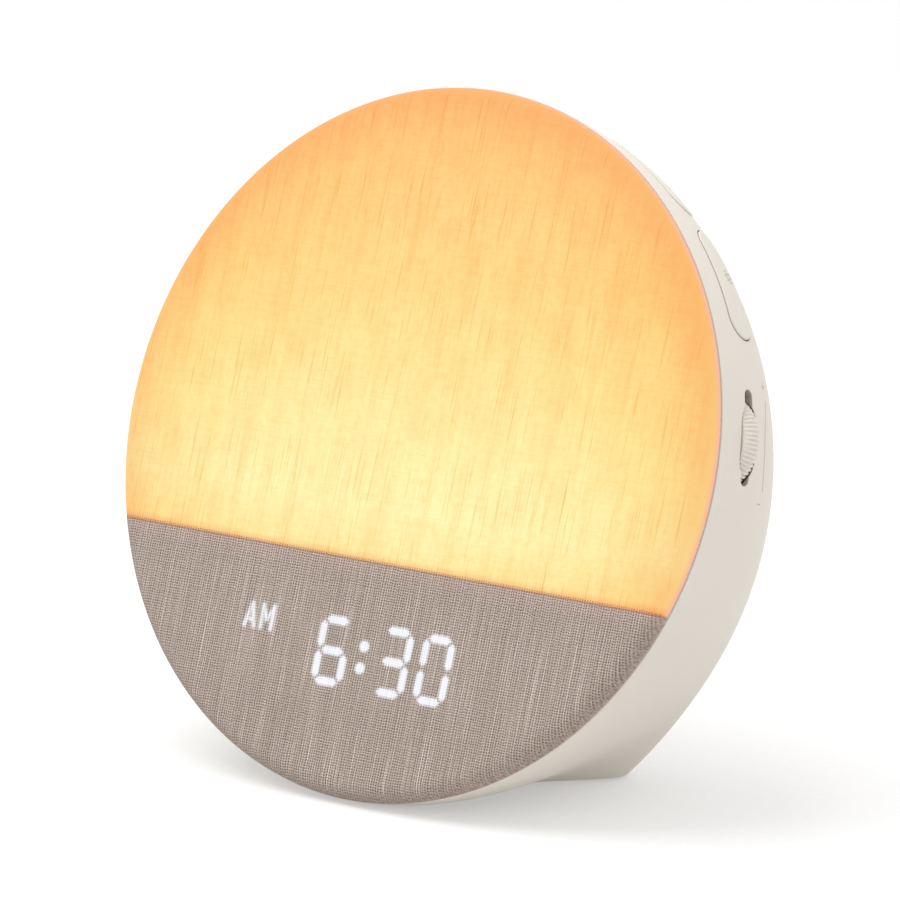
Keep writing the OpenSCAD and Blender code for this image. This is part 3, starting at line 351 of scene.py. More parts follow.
def closed_body(name, inset, sides, rings, nose, edge=0.0):
    """The closed solid under the body's law; nose pushes its front end past the seam."""
    a = np.linspace(0, 2 * math.pi, sides, endpoint=False)
    depths = np.sin(np.linspace(0, math.pi / 2, rings, endpoint=False))
    if edge:
        turn = np.linspace(0, math.pi / 2, 5)
        lip = edge * (1 - np.cos(turn)) / (BODY_DEPTH - inset)
        depths = np.concatenate([lip, depths[depths > 2 * lip[-1]]])
    rows = [body_points(t, a, inset) for t in depths]
    if edge:
        for row, dip in zip(rows, edge * (1 - np.sin(turn))):
            row -= dip * (row - FACE_CENTRE) / np.linalg.norm(row - FACE_CENTRE, axis=1)[:, None]
    if nose:
        rows.insert(0, rows[0] + nose * FACE_OUT)
    tail_shrink = 1e-4
    rows.append(body_points(1 - tail_shrink, a, inset))
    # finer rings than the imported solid's would bulge past its box by hundredths of a mm
    low, high = (np.array(corner) / MM for corner in cad_box)
    return loft(name, np.clip(rows[::-1], low, high) if edge else rows[::-1])


def box_tool(name, low, high):
    """A box between two corners, for cuts."""
    outline = [(low[0], low[1]), (high[0], low[1]), (high[0], high[1]), (low[0], high[1])]
    world = (np.zeros(3), *np.eye(3))
    return prism(name, outline, world, low[2], high[2])


FAR = 300
shell = closed_body("rear_shell_skin", 0, SKIN_SIDES, SKIN_RINGS, 0, EDGE_ROUND)
skin_search = BVHTree.FromPolygons([v.co / MM for v in shell.data.vertices],
                                   [p.vertices[:] for p in shell.data.polygons])
core = closed_body("core", WALL, CORE_SIDES, CORE_RINGS, 1)
carve(core, box_tool("under_floor", (-FAR, -FAR, -FAR), (FAR, FAR, FOOT_T + FLOOR_T)))
carve(shell, core)
carve(shell, box_tool("under_base", (-FAR, -FAR, -FAR), (FAR, FAR, FOOT_T)))
print("shell faces:", len(shell.data.polygons))

# %% [markdown]
# ## Openings for the buttons and dials
# A button's opening is a pill shape pressed straight into the curved flank. Each ring of
# the cutting tool is dropped onto the skin, so the rounding at the opening's edge has
# the same width all the way round. A dial stands out of a narrow slot made the same way.
# Its room is turned from the dial's own crowned outline with a small gap, so it opens
# the skin just around the dial, in the shape of a lens.

# %% Tools that follow the skin
BUTTON_BACK = 15.0
BUTTON_ANGLES = {"lower": math.radians(36.9), "upper": math.radians(60.5)}
BUTTON_LEN, BUTTON_WID, BUTTON_DEEP = 36.0, 12.8, 8
OPENING_ROUND = 0.2
DIAL_R, DIAL_W, DIAL_CROWN, DIAL_BACK, DIAL_PROUD = 14.5, 6.6, 2.4, 12.6, 3.0
DIAL_ANGLE, SLOT_ANGLE = math.radians(9.5), math.radians(10.1)
SLOT_HALF, SLOT_WID, SLOT_DEEP, SLOT_GAP = 13.6, 4.0, 11.0, 0.5
DROP_FROM = 30.0


def dropped(frame_at, flat, depth):
    """Flat points of a frame set at a depth below the body's skin, measured along the frame's z."""
    origin, x, y, z = frame_at
    start = place(frame_at, np.column_stack([flat, np.full(len(flat), DROP_FROM)]))
    found = [skin_search.ray_cast(Vector(p), Vector(-z)) for p in start]
    return np.array([hit[0] for hit in found]) - depth * z


def skin_loft(name, frame_at, length, width, profile, finish=None):
    """A pill-shaped loft on the skin; its profile lists how much it grows and how deep it lies."""
    rows = [dropped(frame_at, pill(length + 2 * grow, width + 2 * grow), depth)
            for grow, depth in profile]
    return loft(name, rows, finish)


CLEAR_ABOVE = 8.0


def rounded_mouth(round_r, depth, steps=4):
    """Profile of an opening with a rounded edge, from deep inside to well above the bulging skin."""
    turn = np.linspace(0, math.pi / 2, steps)
    edge = [(round_r * (1 - math.cos(a)), round_r * (1 - math.sin(a))) for a in turn]
    return [(0, depth)] + edge + [(round_r, -CLEAR_ABOVE)]


button_frames = {name: skin_frame(BUTTON_BACK, a) for name, a in BUTTON_ANGLES.items()}
for name, at in button_frames.items():
    carve(shell, skin_loft(name, at, BUTTON_LEN, BUTTON_WID, rounded_mouth(OPENING_ROUND, BUTTON_DEEP)))


def arc_radius(width):
    """Radius of the arc that falls by the dial's crown over half this width."""
    return (width ** 2 / 4 + DIAL_CROWN ** 2) / (2 * DIAL_CROWN)


def crowned_disc(name, frame_at, radius, width, sides=180, steps=12):
    """A disc about a frame's z axis whose rim is an arc, with its largest radius in the middle."""
    crown_r = arc_radius(width)
    half = math.asin(width / 2 / crown_r)
    rows = []
    for a in np.linspace(-half, half, steps + 1):
        flat = circle(radius - crown_r * (1 - math.cos(a)), sides)
        level = np.full(sides, crown_r * math.sin(a))
        rows.append(place(frame_at, np.column_stack([flat, level])))
    return loft(name, rows)


dial_point = body_points(DIAL_BACK / BODY_DEPTH, DIAL_ANGLE) - FACE_CENTRE + DIAL_BACK * FACE_OUT
DIAL_RING = float(np.linalg.norm(dial_point)) + DIAL_PROUD - DIAL_R
dial_frames = {}
for name, face in {"volume": FACE, "brightness": MIRRORED_FACE}.items():
    side = turned(face, SLOT_ANGLE, (DIAL_RING, 0, -DIAL_BACK))
    slot_at = (side[0], side[2], side[3], side[1])
    mouth = rounded_mouth(OPENING_ROUND, SLOT_DEEP)
    carve(shell, skin_loft(name, slot_at, 2 * SLOT_HALF, SLOT_WID, mouth))
    dial_frames[name] = turned(face, DIAL_ANGLE, (DIAL_RING, 0, -DIAL_BACK))
    carve(shell, crowned_disc(name, dial_frames[name], DIAL_R + SLOT_GAP, DIAL_W + 2 * SLOT_GAP))
print("dial centre:", dial_frames["volume"][0].round(2), "shell faces:", len(shell.data.polygons))

# %% [markdown]
# ## Openings in the back and the base
# The loudspeaker sits behind a round grille in the back, in a collar that stands inside
# the wall. The power socket looks out of a small round hole, and the underside has a
# recess for its screwed cover. Here the shell also gets its screw bosses, so that the
# view through a slot or an open base still shows a real moulding.

# %% Speaker seat, socket hole, base recess and bosses
SPEAKER_Z = 66.0
GRILLE_R, GRILLE_T, GRILLE_SET = 27.0, 1.5, 1.2
FIT_GAP = 0.3
SEAT_R = GRILLE_R + FIT_GAP
COLLAR_R, HORN_R, COLLAR_DEPTH = SEAT_R + 3, SEAT_R - 2, 9.0
INLET_X, INLET_HOLE_R = 24.0, 5.0
BOARD_INSET, BOARD_BACK_INSET = 5, 14
THROUGH, OVERLAP = 20, 0.05
BOSS_R, TAP_R = 3.0, 1.35


def back_point(x, z):
    """The point of the back at a place across and a height above the table."""
    low, high = 0.4, 1.0
    for _ in range(30):
        t = (low + high) / 2
        ring = FACE_R * (1 - t ** FLANK_POWER) ** (1 / TAIL_POWER)
        wide = ring * (1 + BODY_WIDEN * t ** WIDEN_POWER)
        p = body_points(t, math.acos(min(1, x / wide)))
        low, high = (t, high) if p[2] > z else (low, t)
    return p


rise = (back_point(0, SPEAKER_Z + GRILLE_R) - back_point(0, SPEAKER_Z - GRILLE_R))[1]
lean = math.atan(rise / (2 * GRILLE_R))
out = np.array([0, math.cos(lean), -math.sin(lean)])
speaker_middle = np.array([0, back_point(0, SPEAKER_Z)[1], SPEAKER_Z])
BACK = (speaker_middle, FACE_RIGHT, np.cross(out, FACE_RIGHT), out)
carve(shell, prism("collar", circle(COLLAR_R), BACK, -COLLAR_DEPTH, -0.75 * WALL), "UNION")
grille_seat = -GRILLE_SET - GRILLE_T
carve(shell, prism("seat", circle(SEAT_R), BACK, grille_seat, THROUGH))
carve(shell, prism("horn", circle(HORN_R), BACK, -COLLAR_DEPTH - 1, THROUGH))

inlet_low, inlet_high = (np.array(corner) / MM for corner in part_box("power_inlet"))
inlet_z = (inlet_low[2] + inlet_high[2]) / 2
hole_at = (np.array([INLET_X, inlet_high[1], inlet_z]), FACE_RIGHT, -np.eye(3)[2], np.eye(3)[1])
carve(shell, prism("socket_hole", circle(INLET_HOLE_R, 48), hole_at, 0, 2 * THROUGH))

FOOT_FRONT, FOOT_BACK, FOOT_Y0, FOOT_Y1, FOOT_ROUND = 17.0, 35.0, -26.0, 39.0, 5.0
COVER_INSET, COVER_LEDGE, COVER_ROUND, COVER_T = 10.0, 3.0, 3.0, 1.5
WORLD = (np.zeros(3), *np.eye(3))


def grown(core_outline, r, steps=8):
    """A convex outline, counter-clockwise, grown by r with round corners."""
    core_outline = np.asarray(core_outline, float)
    before = core_outline - np.roll(core_outline, 1, 0)
    after = np.roll(core_outline, -1, 0) - core_outline
    a0, a1 = np.arctan2(-before[:, 0], before[:, 1]), np.arctan2(-after[:, 0], after[:, 1])
    turn = a0[:, None] + np.mod(a1 - a0, 2 * math.pi)[:, None] * np.linspace(0, 1, steps)
    corners = core_outline[:, None] + r * np.stack([np.cos(turn), np.sin(turn)], -1)
    return corners.reshape(-1, 2)


def inside_foot(inset):
    """Corners of the foot's outline, moved inwards."""
    front, back = FOOT_FRONT - inset, FOOT_BACK - inset - FOOT_ROUND
    y0, y1 = FOOT_Y0 + inset, FOOT_Y1 - inset
    return [(-front, y0), (front, y0), (back, y1), (-back, y1)]


cover_spots = inside_foot(COVER_INSET)
cover_top = FOOT_T + COVER_T
recess = grown(cover_spots, COVER_ROUND + FIT_GAP)
hatch = grown(inside_foot(COVER_INSET + COVER_LEDGE), COVER_ROUND)
carve(shell, prism("recess", recess, WORLD, -1, cover_top))
carve(shell, prism("hatch", hatch, WORLD, -1, FOOT_T + FLOOR_T + 1))

board_low, board_high = (np.array(corner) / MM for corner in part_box("main_board"))
board_xs = (board_low[0] + BOARD_INSET, board_high[0] - BOARD_INSET)
board_ys = (board_low[1] + BOARD_INSET, board_high[1] - BOARD_BACK_INSET)
board_spots = [(x, y) for x in board_xs for y in board_ys]
PAN_BACK, PAN_BOSS_RING, PAN_BOSS_LEN = -3.4, 92.0, 18.0
PAN_BOSS_ANGLES = [math.radians(a) for a in (90, 135, 200, 245, 295, 340)]
COVER_BOSS_LEN = 6
bosses = [(WORLD, spot, cover_top, cover_top + COVER_BOSS_LEN) for spot in cover_spots]
bosses += [(WORLD, spot, FOOT_T + FLOOR_T - OVERLAP, board_low[2]) for spot in board_spots]
for a in PAN_BOSS_ANGLES:
    bosses.append((turned(FACE, a), (PAN_BOSS_RING, 0), PAN_BACK - PAN_BOSS_LEN, PAN_BACK))
for at, spot, z0, z1 in bosses:
    carve(shell, prism("post", circle(BOSS_R, 32, spot), at, z0, z1), "UNION")
    carve(shell, prism("tap", circle(TAP_R, 24, spot), at, z0 + OVERLAP, z1 + 1))
WEB_HALF, WEB_FROM, WEB_TO = 1.0, 16.4, 8.4
for a in PAN_BOSS_ANGLES:
    reach = ring_radius((WEB_FROM + WEB_TO) / 2, a, WALL / 2)
    start = PAN_BOSS_RING + BOSS_R - OVERLAP
    web = [(start, -WEB_HALF), (reach, -WEB_HALF), (reach, WEB_HALF), (start, WEB_HALF)]
    carve(shell, prism("web", web, turned(FACE, a), -WEB_FROM, -WEB_TO), "UNION")
WELD_MM = 0.002
outwards(shell, WELD_MM)
print("shell faces:", len(shell.data.polygons))

# %% [markdown]
# ## The buttons
# Each button is a cap that follows the curved flank, stands a hair above it and ends in
# a lip inside the wall, with a short stem that pushes the switch. A loft over the same
# dropped rings makes it: the rings shrink towards a line in the middle of the pill, so
# the top stays smooth everywhere, and the edge is rounded by a quarter circle.

# %% Button caps
BUTTON_GAP, BUTTON_PROUD, CAP_ROUND = 0.35, 0.4, 0.4
LIP_TOP, LIP_END, LIP_GROW = 3.2, 4.6, 1.4
STEM_R, STEM_DEPTH = 2.5, 9.0


def button_cap(name, frame_at):
    """A cap with a rounded top edge, a lip inside the wall and a stem."""
    inner = -BUTTON_WID / 2 + 0.02
    shoulder = -BUTTON_GAP - CAP_ROUND
    top = [(grow, -BUTTON_PROUD) for grow in np.linspace(inner, shoulder, 8)]
    turn = np.linspace(0, math.pi / 2, 6)[1:]
    edge = [(shoulder + CAP_ROUND * math.sin(a), -BUTTON_PROUD + CAP_ROUND * (1 - math.cos(a)))
            for a in turn]
    lip = [(-BUTTON_GAP, LIP_TOP), (LIP_GROW, LIP_TOP), (LIP_GROW, LIP_END), (inner, LIP_END)]
    cap = skin_loft(name, frame_at, BUTTON_LEN, BUTTON_WID, (top + edge + lip)[::-1])
    return carve(cap, prism("stem", circle(STEM_R, 32), frame_at, -STEM_DEPTH, -LIP_END + 0.5), "UNION")


buttons = {name: button_cap(name + "_button_cap", at) for name, at in button_frames.items()}
for name, cap in buttons.items():
    print(name, "button faces:", len(cap.data.polygons))

# %% [markdown]
# ## Finishes for moulded and metal parts
# Most parts are moulded plastic. What the eye reads on it is a fine grain from the
# mould's spark-eroded surface, which breaks up the shine, and a slow drift in tone.
# One recipe holds for all of them, with its own colour, shine and grain size each time.
# The same recipe with a metallic base gives plated steel and ferrite. A real mould's grain
# is about a tenth of a millimetre, too fine to show from here, so it is drawn two to
# eight times as coarse. The thumb dials and the grille, which come next, need theirs first.

# %% One recipe for a grained surface
DRIFT_MM = 40


def tinted(colour, by):
    """A linear colour made lighter or darker."""
    return [min(1.0, c * by) for c in colour[:3]] + [1.0]


def grained(name, colour, roughness, grain=0.4, depth=0.02, drift=0.03, **fixed):
    """Even colour that drifts slowly, with grain of a size in mm in its bump and its shine."""
    material, tree, shader = new_finish(name, **fixed)
    where = add(tree, "ShaderNodeTexCoord").outputs["Object"]
    fine = add(tree, "ShaderNodeTexNoise", {
        "Vector": where, "Scale": 1 / (grain * MM), "Detail": 2.0, "Roughness": 0.6})
    slow = add(tree, "ShaderNodeTexNoise", {"Vector": where, "Scale": 1 / (DRIFT_MM * MM), "Detail": 3.0})
    tone = add(tree, MATH, (fine.outputs["Fac"], 0.25, slow.outputs["Fac"]), operation="MULTIPLY_ADD")
    base = linear(colour)
    ramp = add(tree, "ShaderNodeValToRGB", (tone,), stops=[
        (0.4, tinted(base, 1 - drift)), (0.85, tinted(base, 1 + drift))])
    shine = add(tree, "ShaderNodeMapRange", {
        "Value": fine.outputs["Fac"], "From Min": 0.3, "From Max": 0.7,
        "To Min": max(0.02, roughness - 0.06), "To Max": min(1.0, roughness + 0.06)})
    bump = add(tree, "ShaderNodeBump", {
        "Height": fine.outputs["Fac"], "Strength": 0.6, "Distance": depth * MM})
    for socket, node in {"Base Color": ramp, "Roughness": shine, "Normal": bump}.items():
        tree.links.new(node.outputs[0], shader.inputs[socket])
    return material


finishes = {
    # ABS from spark-eroded moulds: a warm matt skin with wide, soft highlights.
    "putty_shell": grained("moulded_abs_putty", "#e3dcd1", 0.55, 0.45, 0.02, 0.015),
    "grille": grained("moulded_abs_grille", "#cfc7bb", 0.55, 0.4, 0.02, 0.02),
    # Caps and dials come from a finer mould and are touched all day: a little more shine.
    "button_cap": grained("moulded_abs_cap", "#e2dacf", 0.45, 0.3, 0.01, 0.015),
    "dial": grained("moulded_abs_dial", "#e3dcd2", 0.42, 0.3, 0.01, 0.02),
    # Painted shade: the walls of narrow gaps, and all faces below the skin, get a darker, duller colour
    # for the shade that falls there.
    "painted_gap_shade": grained("abs_with_painted_gap_shade", "#b3aca1", 0.8, 0.5, 0.02, 0.05),
    # Polycarbonate is harder and glossier; white pigment makes it opal, soot makes it smoky.
    "opal_cap": grained("opal_polycarbonate", "#f2ece2", 0.35, 0.6, 0.01, 0.01),
    "smoked_panel": grained("smoked_polycarbonate", "#6b635b", 0.25, 0.5, 0.005, 0.03),
    "white_plastic": grained("moulded_white_polycarbonate", "#ecebe6", 0.5, 0.4),
    "dark_plastic": grained("moulded_black_polycarbonate", "#2a2a2c", 0.5, 0.4),
    # Glass fibres float up to the skin of filled nylon and leave it dull and cloudy.
    "grey_plastic": grained("glass_filled_nylon", "#d8d8d5", 0.6, 0.5, 0.04, 0.04),
    "switch_plunger": grained("moulded_red_nylon", "#7a302b", 0.45, 0.3),
    "inlet": grained("moulded_black_nylon", "#1c1c1e", 0.5, 0.35),
    # Moulded resins of bought parts: dark, slightly speckled, with a dry shine.
    "chips": grained("moulded_epoxy", "#46484c", 0.6, 0.25, 0.02, 0.04),
    "encoder": grained("moulded_blue_phenolic", "#3a4a5c", 0.5, 0.3),
    # Rubber swallows highlights; pressed paper pulp has none at all and shows its fibres.
    "foot": grained("moulded_rubber_foot", "#8d8a84", 0.85, 0.6, 0.06, 0.05),
    "surround": grained("rolled_rubber_surround", "#1a1a1c", 0.6, 0.5),
    "cone": grained("pressed_paper_cone", "#2b2b2e", 0.9, 0.8, 0.08, 0.12),
    # Enamel flows before it sets, so it is smooth and shiny; ferrite is ground and grey.
    "basket": grained("black_enamelled_steel", "#363639", 0.35, 0.8, 0.01),
    "magnet": grained("sintered_ferrite", "#55565a", 0.7, 0.4, 0.05, 0.06, Metallic=0.4),
    # Zinc plating mirrors softly, in small crystals.
    "steel": grained("zinc_plated_steel", "#b9b9bb", 0.32, 0.25, 0.01, 0.06, Metallic=1.0),
    # Pad-printed paint dries matt and very thin, a shade darker than what it is printed on.
    "print": grained("pad_printed_ink", "#bdb5aa", 0.6, 0.2, 0.005, 0.05),
}
print("grained finishes:", len(finishes))

# %% [markdown]
# ## The thumb dials
# A thumb dial is a small wheel with a crowned rim and fine ridges across it, so that a
# thumb finds its middle and doesn't slip. The rim follows a rule, an arc across and a
# wave round the wheel, so Geometry Nodes make it: a finely cut cylinder whose points are
# set in to the arc and then in and out with the cosine of their angle. The ridges fade
# towards both faces of the wheel, as a mould leaves them.

# %% A Geometry Nodes tree for a ridged wheel
def tree_with_sockets(name, sockets):
    """An empty Geometry Nodes tree, its input node, and the identifiers of its named inputs."""
    tree = bpy.data.node_groups.new(name, "GeometryNodeTree")
    made = {label: tree.interface.new_socket(name=label, in_out="INPUT", socket_type=kind)
            for label, kind in sockets.items()}
    tree.interface.new_socket(name="Geometry", in_out="OUTPUT", socket_type="NodeSocketGeometry")
    given = add(tree, "NodeGroupInput")
    return tree, given.outputs, {label: item.identifier for label, item in made.items()}


def grow_mesh(name, tree, identifiers, values):
    """Runs a tree on an empty object with these values and keeps its plain mesh."""
    piece = new_piece(name, [], [])
    modifier = piece.modifiers.new("grow", "NODES")
    modifier.node_group = tree
    for label, value in values.items():
        modifier[identifiers[label]] = value
    return settle(piece)


def ridged_wheel_tree():
    """Cylinder with a crowned rim and ridges that fade towards its two faces."""
    tree, given, identifiers = tree_with_sockets("ridged_wheel", {
        "Ridges": "NodeSocketInt", "Radius": "NodeSocketFloat", "Width": "NodeSocketFloat",
        "Arc Radius": "NodeSocketFloat", "Ridge Depth": "NodeSocketFloat",
        "Finish": "NodeSocketMaterial"})
    rim_points = add(tree, MATH, (given["Ridges"], 12.0), operation="MULTIPLY")
    wheel = add(tree, "GeometryNodeMeshCylinder", {
        "Vertices": rim_points, "Side Segments": 24, "Radius": given["Radius"], "Depth": given["Width"]})
    here = add(tree, "ShaderNodeSeparateXYZ", (add(tree, "GeometryNodeInputPosition"),))
    angle = add(tree, MATH, (here.outputs["Y"], here.outputs["X"]), operation="ARCTAN2")
    phase = add(tree, MATH, (angle, given["Ridges"]), operation="MULTIPLY")
    wave = add(tree, MATH, (add(tree, MATH, (phase,), operation="COSINE"), 0.5, 0.5),
               operation="MULTIPLY_ADD")
    groove = add(tree, MATH, (wave, 1.5), operation="POWER")
    across = add(tree, MATH, (here.outputs["Z"], given["Width"]), operation="DIVIDE")
    doubled = add(tree, MATH, (across, 2.0), operation="MULTIPLY")
    edge = add(tree, MATH, (doubled,), operation="ABSOLUTE")
    near_edge = add(tree, MATH, (edge, 10.0), operation="POWER")
    fade = add(tree, MATH, (1.0, near_edge), operation="SUBTRACT")
    faded = add(tree, MATH, (groove, fade), operation="MULTIPLY")
    cut = add(tree, MATH, (faded, given["Ridge Depth"]), operation="MULTIPLY")
    sine = add(tree, MATH, (here.outputs["Z"], given["Arc Radius"]), operation="DIVIDE")
    cosine = add(tree, MATH, (add(tree, MATH, (sine,), operation="ARCSINE"),), operation="COSINE")
    short = add(tree, MATH, (1.0, cosine), operation="SUBTRACT")
    fall = add(tree, MATH, (short, given["Arc Radius"]), operation="MULTIPLY")
    crowned = add(tree, MATH, (given["Radius"], fall), operation="SUBTRACT")
    radius = add(tree, MATH, (crowned, cut), operation="SUBTRACT")
    turned_xy = []
    for share in ("COSINE", "SINE"):
        direction = add(tree, MATH, (angle,), operation=share)
        turned_xy.append(add(tree, MATH, (direction, radius), operation="MULTIPLY"))
    moved = add(tree, "ShaderNodeCombineXYZ", (*turned_xy, here.outputs["Z"]))
    shaped = add(tree, "GeometryNodeSetPosition", {"Geometry": wheel, "Position": moved})
    real = add(tree, "GeometryNodeRealizeInstances", (shaped,))
    painted = add(tree, "GeometryNodeSetMaterial", {"Geometry": real, "Material": given["Finish"]})
    add(tree, "NodeGroupOutput", (painted,))
    return tree, identifiers


wheel_tree, wheel_inputs = ridged_wheel_tree()
print("wheel tree has", len(wheel_tree.nodes), "nodes")

# %% Grow both wheels and set them on their shafts
DIAL_RIDGES, RIDGE_DEPTH, SHAFT_R = 68, 0.6, 3.03


def to_model(frame_at):
    """The matrix that takes a mesh made at the origin, in metres, to a frame of the model."""
    origin, x, y, z = frame_at
    columns = np.column_stack([x, y, z, origin * MM])
    return Matrix(np.vstack([columns, [0, 0, 0, 1]]).tolist())


def thumb_dial(name, frame_at, finish):
    """A ridged wheel with a bore, in place."""
    dial = grow_mesh(name, wheel_tree, wheel_inputs, {
        "Ridges": DIAL_RIDGES, "Radius": DIAL_R * MM, "Width": DIAL_W * MM,
        "Arc Radius": arc_radius(DIAL_W) * MM, "Ridge Depth": RIDGE_DEPTH * MM, "Finish": finish})
    carve(dial, prism("bore", circle(SHAFT_R, 48), WORLD, -DIAL_W, DIAL_W))
    dial.data.transform(to_model(frame_at))
    return outwards(dial)


dials = {name: thumb_dial(name + "_thumb_dial", at, finishes["dial"]) for name, at in dial_frames.items()}
print("dial faces:", len(dials["volume"].data.polygons))

# %% [markdown]
# ## The loudspeaker's grille
# The grille is a thin round plate with rings of holes, six more in each ring than in the
# one before. Geometry Nodes lay the holes out: every ring is a curve with as many points
# as holes, small circles are set on those points, the outline is filled around them, and
# the flat plate is then drawn out to its thickness.

# %% A Geometry Nodes tree for a perforated plate
GRILLE_HOLE, GRILLE_PITCH = 2.4, 5.0


def perforated_plate_tree(rings):
    """Round plate with a middle hole and rings of holes around it."""
    tree, given, identifiers = tree_with_sockets("perforated_plate", {
        "Radius": "NodeSocketFloat", "Thickness": "NodeSocketFloat", "Hole Radius": "NodeSocketFloat",
        "Pitch": "NodeSocketFloat", "Finish": "NodeSocketMaterial"})
    rim = add(tree, "GeometryNodeCurvePrimitiveCircle", {"Resolution": 144, "Radius": given["Radius"]})
    hole = add(tree, "GeometryNodeCurvePrimitiveCircle", {
        "Resolution": 24, "Radius": given["Hole Radius"]})
    outlines = add(tree, "GeometryNodeJoinGeometry")
    tree.links.new(rim.outputs["Curve"], outlines.inputs[0])
    tree.links.new(hole.outputs["Curve"], outlines.inputs[0])
    for ring in range(1, rings):
        reach = add(tree, MATH, (given["Pitch"], float(ring)), operation="MULTIPLY")
        line = add(tree, "GeometryNodeMeshCircle", {"Vertices": 6 * ring, "Radius": reach})
        copies = add(tree, "GeometryNodeInstanceOnPoints", {"Points": line, "Instance": hole})
        tree.links.new(copies.outputs[0], outlines.inputs[0])
    flat = add(tree, "GeometryNodeFillCurve", {
        "Curve": add(tree, "GeometryNodeRealizeInstances", (outlines,))})
    drawn = add(tree, "GeometryNodeExtrudeMesh", {
        "Mesh": flat, "Offset Scale": given["Thickness"], "Individual": False})
    underside = add(tree, "GeometryNodeFlipFaces", (flat,))
    plate = add(tree, "GeometryNodeJoinGeometry")
    tree.links.new(drawn.outputs[0], plate.inputs[0])
    tree.links.new(underside.outputs[0], plate.inputs[0])
    closed = add(tree, "GeometryNodeMergeByDistance", {"Geometry": plate, "Distance": 1e-6})
    real = add(tree, "GeometryNodeRealizeInstances", (closed,))
    painted = add(tree, "GeometryNodeSetMaterial", {"Geometry": real, "Material": given["Finish"]})
    add(tree, "NodeGroupOutput", (painted,))
    return tree, identifiers


plate_tree, plate_inputs = perforated_plate_tree(int(GRILLE_R // GRILLE_PITCH))
grille = grow_mesh("perforated_grille", plate_tree, plate_inputs, {
    "Radius": GRILLE_R * MM, "Thickness": GRILLE_T * MM, "Hole Radius": GRILLE_HOLE / 2 * MM,
    "Pitch": GRILLE_PITCH * MM, "Finish": finishes["grille"]})
grille_at = (BACK[0] + grille_seat * BACK[3], *BACK[1:])
grille.data.transform(to_model(grille_at))
print("grille faces:", len(grille.data.polygons))

# %% [markdown]
# ## Printed marks
# A tiny sun on the lower button stands for the light, and a thin arc with a plus and a
# minus behind the dial for louder and softer. Such marks are pad-printed: a film of grey
# paint a few hundredths of a millimetre thick. Each one is a narrow closed strip that
# follows the curved skin along a path.

# %% Printed strips
FILM = 0.05


def printed(name, frame_at, paths, width, depth):
    """Strips along flat paths of a frame, printed on the skin or at a depth from it."""
    points, faces = [], []
    for path in paths:
        path = np.asarray(path, float)
        along = np.gradient(path, axis=0)
        aside = np.column_stack([-along[:, 1], along[:, 0]]) / np.linalg.norm(along, axis=1)[:, None]
        left, right_side = path + aside * width / 2, path - aside * width / 2
        outline = ((left, -FILM), (right_side, -FILM), (right_side, FILM), (left, FILM))
        corners = [dropped(frame_at, flat, depth + below) for flat, below in outline]
        start = sum(len(p) for p in points)
        ring = start + np.arange(len(path) * 4).reshape(-1, 4)
        points.append(np.stack(corners, 1).reshape(-1, 3))
        beside = np.roll(ring, -1, 1)
        faces += np.stack([ring[:-1], beside[:-1], beside[1:], ring[1:]], -1).reshape(-1, 4).tolist()
        faces += [ring[0, ::-1].tolist(), ring[-1].tolist()]
    return outwards(new_piece(name, np.vstack(points), faces))


SUN_R, RAY_IN, RAY_OUT, SUN_LINE = 1.1, 1.75, 2.45, 0.42
sun_x, sun_y = 2.2, -1.4
spokes = np.linspace(0, 2 * math.pi, 8, endpoint=False)
rays = [np.outer(np.linspace(RAY_IN, RAY_OUT, 4), (math.cos(a), math.sin(a))) for a in spokes]
disc_edge = SUN_R * np.column_stack([np.cos(np.linspace(0, 2 * math.pi, 33)),
                                     np.sin(np.linspace(0, 2 * math.pi, 33))])
sun = [path + (sun_x, sun_y) for path in [*rays, disc_edge]]
sun_mark = printed("printed_sun", button_frames["lower"], sun, SUN_LINE, -BUTTON_PROUD)

MARK_BACK, MARK_LINE, MARK_BULGE = 23.0, 0.35, 1.6
mark_at = skin_frame(MARK_BACK, DIAL_ANGLE + math.radians(1.4))
run = np.linspace(-1, 1, 60)
arc = np.column_stack([12.8 * run, MARK_BULGE * (1 - run ** 2) - 1.0])
plus = [np.column_stack([16.6 + np.linspace(-1, 1, 5), np.zeros(5)]),
        np.column_stack([np.full(5, 16.6), np.linspace(-1, 1, 5)])]
minus = [np.column_stack([np.full(5, -16.6), np.linspace(-1, 1, 5)])]
scale_mark = printed("printed_volume_scale", mark_at, [arc, *plus, *minus], MARK_LINE, 0)
print("strips:", len(sun) + 1 + len(plus) + len(minus))

# %% [markdown]
# ## The woven cover of the face
# The cover is one sheet of cloth, stretched over the round cap and held behind its rim.
# Its front is flat, so the mesh can be plain there, except where the digits shine
# through: that patch is cut finely, because its points carry how brightly the lamps
# behind them shine. The rim turns back in a quarter circle to a thin seam.

# %% Fine grid of the digits' patch
RIM_ROUND, SEAM_GAP, CLOTH_T = 5.0, 0.4, 0.5
FLAT_R = FACE_R - RIM_ROUND
PATCH_LOW, PATCH_HIGH, PATCH_STEP = np.array([-47.0, -75.0]), np.array([32.0, -50.0]), 0.3

columns, rows = (int(n) for n in np.ceil((PATCH_HIGH - PATCH_LOW) / PATCH_STEP))
across = np.linspace(PATCH_LOW[0], PATCH_HIGH[0], columns + 1)
upright = np.linspace(PATCH_LOW[1], PATCH_HIGH[1], rows + 1)
patch = np.stack(np.meshgrid(across, upright), -1)
index = np.arange(patch.shape[0] * patch.shape[1]).reshape(patch.shape[:2])
patch_faces = np.stack([index[:-1, :-1], index[:-1, 1:], index[1:, 1:], index[1:, :-1]], -1)
patch_faces = patch_faces.reshape(-1, 4)
border = np.concatenate([index[0], index[1:, -1], index[-1, -2::-1], index[-2:0:-1, 0]])
patch = patch.reshape(-1, 2)
print("patch:", columns, "by", rows, "squares")

